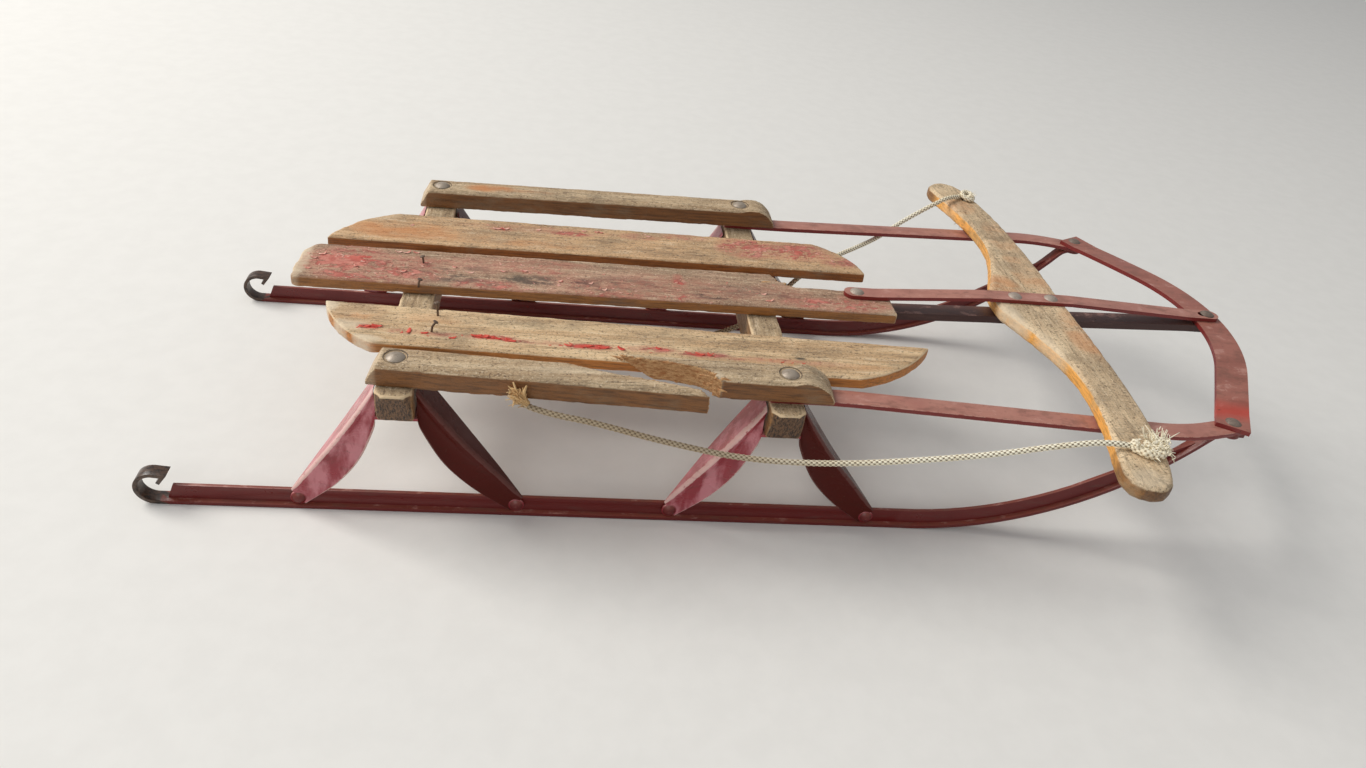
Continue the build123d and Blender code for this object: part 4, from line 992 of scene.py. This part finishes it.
WOOD = (
    # node, material, voxel, wear, dent
    (CENTRE, centre_wood, 0.0014, 1.6, 0.0005),
    (LEFT, left_wood, 0.0014, 1.6, 0.0005),
    (RIGHT, right_wood, 0.0014, 1.4, 0.0004),
    ("seat_rail_left", rail_wood, 0.0014, 1.6, 0.0005),
    ("seat_rail_right_rear", rail_wood, 0.0013, 1.6, 0.0005),
    ("seat_rail_right_front", rail_wood, 0.0013, 1.6, 0.0005),
    ("bench_rear", bench_wood, 0.0018, 1.2, 0.0004),
    ("bench_front", bench_wood, 0.0018, 1.2, 0.0004),
    ("steering_bar", bar_wood, 0.0016, 1.8, 0.0007),
)
worn = {}
for node, material, voxel, wear, dent in WOOD:
    piece = worn[node] = worn_copy(node, voxel, wear, dent)
    dress(piece, material, "steering" if node == "steering_bar" else "frame", slots[node], node)
    for mark, spots in BOARD_MARKS.get(node, {}).items():
        patches(piece.data, mark, spots)


# Curled chips of paint on the boards
ABOVE_BOARD, CHIP_DROP = 142.0, 0.006
CHIP_THICKNESS = 0.00022
PATCH_A_CHIP = 22          # square millimetres of a full patch for each small chip
CHIP_CORNERS = ((0, 0), (-1, -1), (-1, 1), (1, -1), (1, 1))
CHIPS = {
    # distance, Y, length, width, lift
    CENTRE: (
        (118, 10, 7, 4, 1.6), (112, 3, 6, 3, 1.8), (111, -16, 5, 3, 1.2), (148, -7, 6, 4, 1.6),
        (153, 1, 4, 3, 1.2), (178, -36, 6, 4, 2.4), (188, -12, 7, 4, 2.6), (230, 2, 5, 3, 1.2),
        (272, 0, 5, 3, 1.8), (290, 3, 6, 4, 2.2), (262, -32, 12, 5, 3), (322, -11, 5, 4, 1.8),
        (301, -29, 6, 4, 2.4), (180, 22, 6, 3, 2.6), (187, 22, 7, 3, 2.8), (195, 23, 6, 3, 2.2),
        (245, -6, 5, 3, 1.4), (349, -11, 4, 3, 1.4), (361, -21, 4, 3, 1.4), (418, -31, 8, 4, 3),
        (428, -30, 7, 4, 1.6), (509, -21, 8, 3, 1.6), (505, -10, 5, 3, 1.2),
    ),
    LEFT: (
        (262, 81, 9, 4, 2.6), (270, 82, 6, 4, 2), (343, 89, 5, 3, 1.8), (359, 89, 5, 3, 1.8),
        (405, 88, 5, 3, 1.4), (184, 76, 4, 3, 1), (300, 85, 4, 3, 1.2), (509, 93, 9, 3, 1.2),
        (355, 89, 4, 3, 1.4),
    ),
    RIGHT: (
        (172, -101, 9, 5, 1.8), (181, -100, 8, 4, 2), (206, -105, 7, 4, 2.2), (218, -106, 6, 3, 1),
        (258, -106, 9, 4, 2.2), (264, -107, 8, 4, 2.6), (274, -108, 7, 4, 1.8), (285, -110, 9, 4, 2.4),
        (240, -111, 6, 3, 1.6), (330, -112, 7, 3, 1.8), (345, -112, 10, 4, 2), (358, -113, 9, 4, 2.2),
        (372, -113, 8, 4, 2), (402, -109, 5, 3, 1.2), (436, -114, 8, 3, 1.6), (444, -114, 6, 3, 1.4),
    ),
}


def curled_chips(name, board, rows, spots, seed):
    """Small curled sheets on a board: the rows given, and smaller ones over the painted patches."""
    faces = surface_of(board)
    chance = random.Random(seed)
    rows = [(*row, chance.gauss(0, 0.4)) for row in rows]
    for distance, y, long, wide, percent in spots:
        for _ in range(round(long * wide * (percent / 100) ** 2 / PATCH_A_CHIP)):
            turn, reach = chance.uniform(0, tau), sqrt(chance.uniform(0, 0.8))
            rows.append((
                distance + long * reach * cos(turn), y + wide * reach * sin(turn), chance.uniform(1.2, 3.4),
                chance.uniform(0.6, 1.5), chance.uniform(0.3, 1.0), chance.gauss(0, 0.45),
            ))
    build = bmesh.new()
    down = Vector((0, 0, -1))
    for distance, y, length, width, lift, turn in rows:
        centre = station(distance, y, ABOVE_BOARD)
        along = Vector((cos(turn), sin(turn), 0)) * (length / 2000)
        aside = Vector((-sin(turn), cos(turn), 0))
        half = width / 2600
        lean = chance.uniform(-0.5, 1.0)
        corners = [centre + along * u + aside * (v * half) for u, v in CHIP_CORNERS]
        heights = [faces.ray_cast(corner, down, CHIP_DROP)[0] for corner in corners]
        if None in heights:
            continue        # over the board's edge
        centre.z = max(height.z for height in heights)
        grid = []
        for i in range(6):
            u = i / 2.5 - 1
            narrow = sqrt(max(0.08, 1 - 0.85 * u * u)) * chance.uniform(0.75, 1.1)
            rise = lift / 1000 * (0.5 * u * u * (1 + lean * u) + 0.06)
            bent = 0.35 * lean * u * u * width / 1000
            row = []
            for v in (-1, 0, 1):
                point = centre + along * u + aside * (v * narrow * half + bent)
                point.z += rise + abs(v) * lift / 1000 * 0.12
                row.append(build.verts.new(point))
            grid.append(row)
        for before, after in zip(grid, grid[1:]):
            for k in range(2):
                build.faces.new((before[k], before[k + 1], after[k + 1], after[k]))
    piece = finished(name, build)
    solid = piece.modifiers.new("thickness", "SOLIDIFY")
    solid.thickness = CHIP_THICKNESS
    solid.offset = 1.0
    return piece


for seed, (board, rows) in enumerate(CHIPS.items()):
    piece = curled_chips(board + "_chips", worn[board].data, rows, BOARD_MARKS[board]["paint"], 20 + seed)
    dress(piece, fresh_chip_paint if board == RIGHT else chip_paint, "frame", "red_steel")

# Nails that have worked their way up out of the boards
NAILS = (
    # distance, Y, height, lean of the top along X and Y
    (203.1, 5.8, 6, -0.8, 0.3),
    (203.8, -33.3, 5.5, 1.4, 0.4),
    (225.1, -79.1, 11.5, -0.6, 0.5),
    (222.8, -103.5, 8.5, 3.4, 0.8),
)
NAIL_FOOT, NAIL_RADIUS = 137.0, 0.0009
HEAD_LEVELS = (-0.0002, 0.0, 0.0006, 0.0008)
HEAD_RADII = (0.001, 0.0022, 0.0022, 0.0014)
build = bmesh.new()
for distance, y, height, lean_x, lean_y in NAILS:
    foot = station(distance, y, NAIL_FOOT)
    top = foot + Vector((lean_x, lean_y, height + 1.5)) / 1000
    middle = foot.lerp(top, 0.6) - Vector((lean_x, lean_y, 0)) * 0.00035
    shank = [foot, foot.lerp(middle, 0.5), middle, middle.lerp(top, 0.6), top]
    tube(build, shank, [NAIL_RADIUS] * 5, 8)
    axis = (top - middle).normalized()
    tube(build, [top + axis * level for level in HEAD_LEVELS], HEAD_RADII, 12)
dress(finished("popped_nails", build), nail_steel, "frame", "rivet_steel")

# Splinters at the breaks
SPLINTERS = (
    # root, tip, radius at the root
    ((505, 13, 137.2), (521, 15, 138.2), 1.3), ((512, 19, 136), (524, 20, 137), 1.1),
    ((518, 10, 134), (534, 11, 133.5), 1.4), ((520, 14, 131), (529, 16, 131.5), 1.2),
    ((446, -163, 149), (454, -164.5, 150), 1.2), ((444, -168, 142), (451, -170, 143), 1.3),
    ((372, -141, 147), (362, -138, 149.2), 1.2), ((430, -157, 147.5), (441, -160, 149), 1),
)
SPLINTER_TAPER = (1.0, 0.9, 0.65, 0.35, 0.08)
build = bmesh.new()
for root, tip, radius in SPLINTERS:
    start, end = station(*root), station(*tip)
    points = [start.lerp(end, s) + Vector((0, 0, 0.0006 * sin(5 * s))) for s in (0, 0.3, 0.6, 0.85, 1.0)]
    tube(build, points, [radius / 1000 * share for share in SPLINTER_TAPER], 5)
splinters = finished("splinters", build, smooth=False)
point_mark(splinters.data, "torn", [1.0] * len(splinters.data.vertices))
dress(splinters, rail_wood, "frame", "rail_wood")


def soften(obj, rim, angle=38):
    """Rounds the edges with a bevel that takes the second material."""
    bevel = obj.modifiers.new("worn_edges", "BEVEL")
    bevel.width = rim
    bevel.segments = 2
    bevel.limit_method = "ANGLE"
    bevel.angle_limit = radians(angle)
    bevel.material = 1


# Steel that bends when the sled is steered
tail_of_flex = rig.box("knee_front_left")[1].x
nose_of_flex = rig.box("bumper")[0].x
FLEX_CUTS, FLEX_RIM, FLEX_ANGLE = 30, 0.0005, 40
# The runners' curls are bare behind the first of these, and above the third as far on as the second
CURL_BARE, CURL_END, CURL_LOW = station(24, 0, 0).x, station(60, 0, 0).x, 0.0185
CURL_FADE = 0.002


def flexing_copy(node, material):
    """A copy of a bar with cross cuts where it has to bend."""
    piece = link(node + "_steel", nodes[node].data.copy())
    build = bmesh.new()
    build.from_mesh(piece.data)
    bmesh.ops.remove_doubles(build, verts=build.verts, dist=0.000002)
    bmesh.ops.dissolve_limit(build, angle_limit=radians(0.5), verts=build.verts, edges=build.edges)
    span = nose_of_flex - tail_of_flex
    places = [tail_of_flex + span * index / FLEX_CUTS for index in range(FLEX_CUTS + 1)]
    for x in (CURL_BARE, CURL_BARE + CURL_FADE, *places):
        geometry = [*build.verts, *build.edges, *build.faces]
        bmesh.ops.bisect_plane(build, geom=geometry, plane_co=(x, 0, 0), plane_no=(1, 0, 0), dist=0.000001)
    build.to_mesh(piece.data)
    build.free()
    give(piece, material, edge_paint)
    soften(piece, FLEX_RIM, FLEX_ANGLE)
    apply_modifiers(piece)
    bare = [v.co.x < CURL_BARE or (v.co.z > CURL_LOW and v.co.x < CURL_END) for v in piece.data.vertices]
    point_mark(piece.data, "rust", [1.0 if found else 0.0 for found in bare])
    shade_smooth(piece.data)
    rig.replaces(piece, node)
    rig.slot(piece, "red_steel")
    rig.blend(piece, "frame", "nose", start=(tail_of_flex, 0, 0), end=(nose_of_flex, 0, 0))


for side in ("left", "right"):
    flexing_copy(f"runner_{side}", runner_paint)
    flexing_copy(f"side_bar_{side}", frame_paint)

# Pressed steel knees: the solids' sections in millimetres, with the pressing's smooth curves
LEG_LEVELS = (
    # crease up, rim up, flange, trough
    (123.5, 97.1, 27, 3.2),
    (99, 84, 26, 4.2),
    (69, 52, 21, 4),
    (42, 26, 11, 2.2),
    (18, 4, 0.8, 0.3),
)
LEG_REACHES = {        # how far the crease and the rim are from the bolt at each level
    -1: ((15.6, 15.6), (30, 18), (49, 31), (68, 50), (85, 75)),
    1: ((15.6, 15.6), (32, 19), (54, 35), (77, 58), (97, 87)),
}
KNEE_SKIN = 1.1            # half the sheet's thickness
KNEE_FOOT_Y, KNEE_RIM_Y = 158.75, 163.0
WEB_TOP, LEG_TOP = 16.0, 123.5
CREASE_RADIUS = 2.2
FEET, FOOT_HEIGHT = (-80.0, 92.0), 9.5
FOOT_DEPTHS, FOOT_RADII = (-1.1, -0.8, 0.8, 1.1), (6.0, 6.3, 6.3, 6.0)
SADDLE_HALF_LENGTH, SADDLE_HALF_DEPTH, SADDLE_Y, SADDLE_LOW = 16.2, 13.5, 150.6, 95.8
ROWS_A_SECTION = 8


def smooth_rows(rows, steps):
    """Rows of numbers with more between them, on a smooth curve through them all."""
    found = []
    for index in range(len(rows) - 1):
        before, after = rows[max(index - 1, 0)], rows[min(index + 2, len(rows) - 1)]
        for step in range(steps):
            t = step / steps
            row = []
            for a, b, c, d in zip(before, rows[index], rows[index + 1], after):
                bend, twist = 2 * a - 5 * b + 4 * c - d, 3 * b - a - 3 * c + d
                row.append(0.5 * (2 * b + (c - a) * t + bend * t * t + twist * t ** 3))
            found.append(row)
    return found + [list(rows[-1])]


def sheet_outline(half, flange, trough):
    """Points round the sheet's section, across the leg and outward, with each point's wear."""
    bend = min(CREASE_RADIUS, 0.6 * flange)
    flat = 2 * half - KNEE_SKIN - bend
    middle, wear = [], []
    for index in range(13):
        share = index / 6 - 1
        middle.append((-half + flat * index / 12, -trough * (1 - share * share)))
        wear.append(0.9 if index == 0 else 0.3 if index > 10 else 0.0)
    for index in range(1, 6):
        angle = pi / 2 * index / 5
        middle.append((half - KNEE_SKIN - bend * (1 - sin(angle)), -bend * (1 - cos(angle))))
        wear.append(0.9)
    for index in range(1, 4):
        middle.append((half - KNEE_SKIN, -bend - (flange - bend) * index / 3))
        wear.append(0.5 if index == 3 else 0.2)
    outside, inside = [], []
    for index, (u, v) in enumerate(middle):
        before, after = middle[max(index - 1, 0)], middle[min(index + 1, len(middle) - 1)]
        along = (after[0] - before[0], after[1] - before[1])
        length = sqrt(along[0] ** 2 + along[1] ** 2) or 1
        turn = (-along[1] / length * KNEE_SKIN, along[0] / length * KNEE_SKIN)
        outside.append((u + turn[0], v + turn[1], wear[index]))
        inside.append((u - turn[0], v - turn[1], 0.6 * wear[index]))
    first, last = middle[0], middle[-1]
    flange_end = (last[0], last[1] - 0.5 * KNEE_SKIN, 0.9)
    rim = (first[0] - 0.4 * KNEE_SKIN, first[1], 1.0)
    return [*outside, flange_end, *reversed(inside), rim]


def pressed_knee(name, bolt, side):
    """One knee: two legs of bent sheet, their feet and the saddle under the bench."""
    build = bmesh.new()
    worn = build.verts.layers.float.new("arris")
    # The leg mark places the knee paint's painted light on the rear legs and painted shade on the front legs
    which = build.verts.layers.float.new("leg")
    for way, reaches in LEG_REACHES.items():        # the rear leg, then the front one
        rings = []
        sections = [(*reach, *level) for reach, level in zip(reaches, LEG_LEVELS)]
        for crease_out, rim_out, crease_up, rim_up, flange, trough in smooth_rows(sections, ROWS_A_SECTION):
            lean = max(0, crease_up - WEB_TOP) / (LEG_TOP - WEB_TOP)
            face = side * (KNEE_FOOT_Y + (KNEE_RIM_Y - KNEE_FOOT_Y) * lean)
            crease = station(bolt + way * crease_out, face, crease_up)
            rim = station(bolt + way * rim_out, face, rim_up)
            across = (crease - rim).normalized()
            middle = (crease + rim) / 2
            ring = []
            for u, v, wear in sheet_outline(500 * (crease - rim).length, max(0.2, flange), trough):
                vertex = build.verts.new(middle + across * (u / 1000) + Vector((0, side * v / 1000, 0)))
                vertex[worn], vertex[which] = wear, -way
                ring.append(vertex)
            rings.append(ring)
        skin(build, rings)
    for foot in FEET:
        middle = station(bolt + foot, side * KNEE_FOOT_Y, FOOT_HEIGHT)
        places = [middle + Vector((0, depth / 1000, 0)) for depth in FOOT_DEPTHS]
        tube(build, places, [radius / 1000 for radius in FOOT_RADII], 40)
    for corner in bmesh.ops.create_cube(build, size=2)["verts"]:
        corner.co = station(
            bolt + corner.co.x * SADDLE_HALF_LENGTH,
            side * SADDLE_Y + corner.co.y * SADDLE_HALF_DEPTH,
            SADDLE_LOW + KNEE_SKIN + corner.co.z * KNEE_SKIN,
        )
    bmesh.ops.recalc_face_normals(build, faces=build.faces)
    piece = finished(name, build)
    piece.data.set_sharp_from_angle(angle=radians(50))
    return piece


for bench, bolt in zip(("rear", "front"), BOLT_DISTANCES):
    for name, side in (("left", 1), ("right", -1)):
        piece = pressed_knee(f"pressed_knee_{bench}_{name}", bolt, side)
        dress(piece, knee_paint, "frame", "red_steel", f"knee_{bench}_{name}")

# The rigid steel keeps its solids' shapes, with softened edges
RIGID = {
    # material, material of the edges, how wide they are: nodes
    (frame_paint, edge_paint, 0.0006): ("strap_top",),
    (channel_shadow_paint, channel_shadow_paint, 0.0004): ("strap_bottom",),
    (bumper_paint, edge_paint, 0.0006): ("bumper",),
    (runner_paint, edge_paint, 0.0003): ("knee_rivets_left", "knee_rivets_right"),
    (bolt_steel, bolt_steel, 0.0003): ("seat_bolts",),
    (rivet_steel, rivet_steel, 0.0003): ("pivot_rivet", "bar_rivets"),
    (nose_steel, nose_steel, 0.0003): ("nose_end_rivets", "nose_centre_rivet"),
}
for (material, edge, rim), names in RIGID.items():
    for node in names:
        give(nodes[node], material, edge)
        soften(nodes[node], rim)

# The cord and what is on it
give(cord, cord_cotton)
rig.replaces(cord, "pull_cord")
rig.slot(cord, "cord")
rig.blend(cord, "frame", "steering", start=station(560, 0, 0), end=station(740, 0, 0))
for name, piece in knots.items():
    dress(piece, roll_cotton, "steering", "cord", f"knot_{name}")
dress(right_roll, roll_cotton, "steering", "cord")
for piece in (right_brush, left_brush, tail_brush):
    dress(piece, loose_cotton, "steering", "cord")
dress(tuft, golden_cotton, "frame", "cord", "rail_tuft")
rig.cord(
    cord,
    exit=cord_path[0],
    length=cord_length,
    diameter=CORD_DIAMETER,
    far_end="knot",
    stiffness="limp",
    lay="loose",
    path=cord_path,
    with_pieces=[*knots.values(), right_roll, right_brush, left_brush, tail_brush, tuft],
)


# Floor, lamps and world
FLOOR_HALF, FLOOR_LEVEL = 8, -0.0003        # just clear of the soles
WORLD_TINT, WORLD_STRENGTH = (0.92, 0.95, 1.0, 1.0), 0.36
LAMPS = (
    # name, place, what it faces, size, power, tint
    ("key", (-3.4, 1.2, 3.3), (0.1, 0, 0.05), (2.8, 2.8), 205, (1.0, 0.985, 0.955)),
    ("fill", (-0.9, -2.6, 1.7), (0, 0, 0.08), (2.2, 1.6), 18, (0.95, 0.98, 1.0)),
)
for name, place, target, size, power, tint in LAMPS:
    data = bpy.data.lights.new(name, "AREA")
    data.shape = "RECTANGLE"
    data.size, data.size_y = size
    data.energy = power
    data.color = tint
    lamp = link(name, data)
    lamp.location = place
    lamp.rotation_euler = (Vector(target) - Vector(place)).to_track_quat("-Z", "Y").to_euler()
build = bmesh.new()
bmesh.ops.create_grid(build, x_segments=1, y_segments=1, size=FLOOR_HALF)
ground = finished("floor", build, smooth=False)
ground.location.z = FLOOR_LEVEL
w = Wiring("pale_floor", 30)
cloudy = w.mix(w.ramp(w.noise((40, 40, 40), 5), 0.3, 0.7), (233, 230, 224), (230, 227, 221))
give(ground, w.done(Base_Color=cloudy, Roughness=0.9))
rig.stage(ground)
world = scene.world or bpy.data.worlds.new("world")
scene.world = world
world.use_nodes = True
background = next(node for node in world.node_tree.nodes if node.type == "BACKGROUND")
background.inputs["Color"].default_value = WORLD_TINT
background.inputs["Strength"].default_value = WORLD_STRENGTH
scene.view_settings.view_transform = "Standard"

with open("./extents.json", "w") as handle:
    json.dump({
        "cad": [list(corner) for corner in cad_box],
        "visual": [list(corner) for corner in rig.bounds()],
    }, handle)
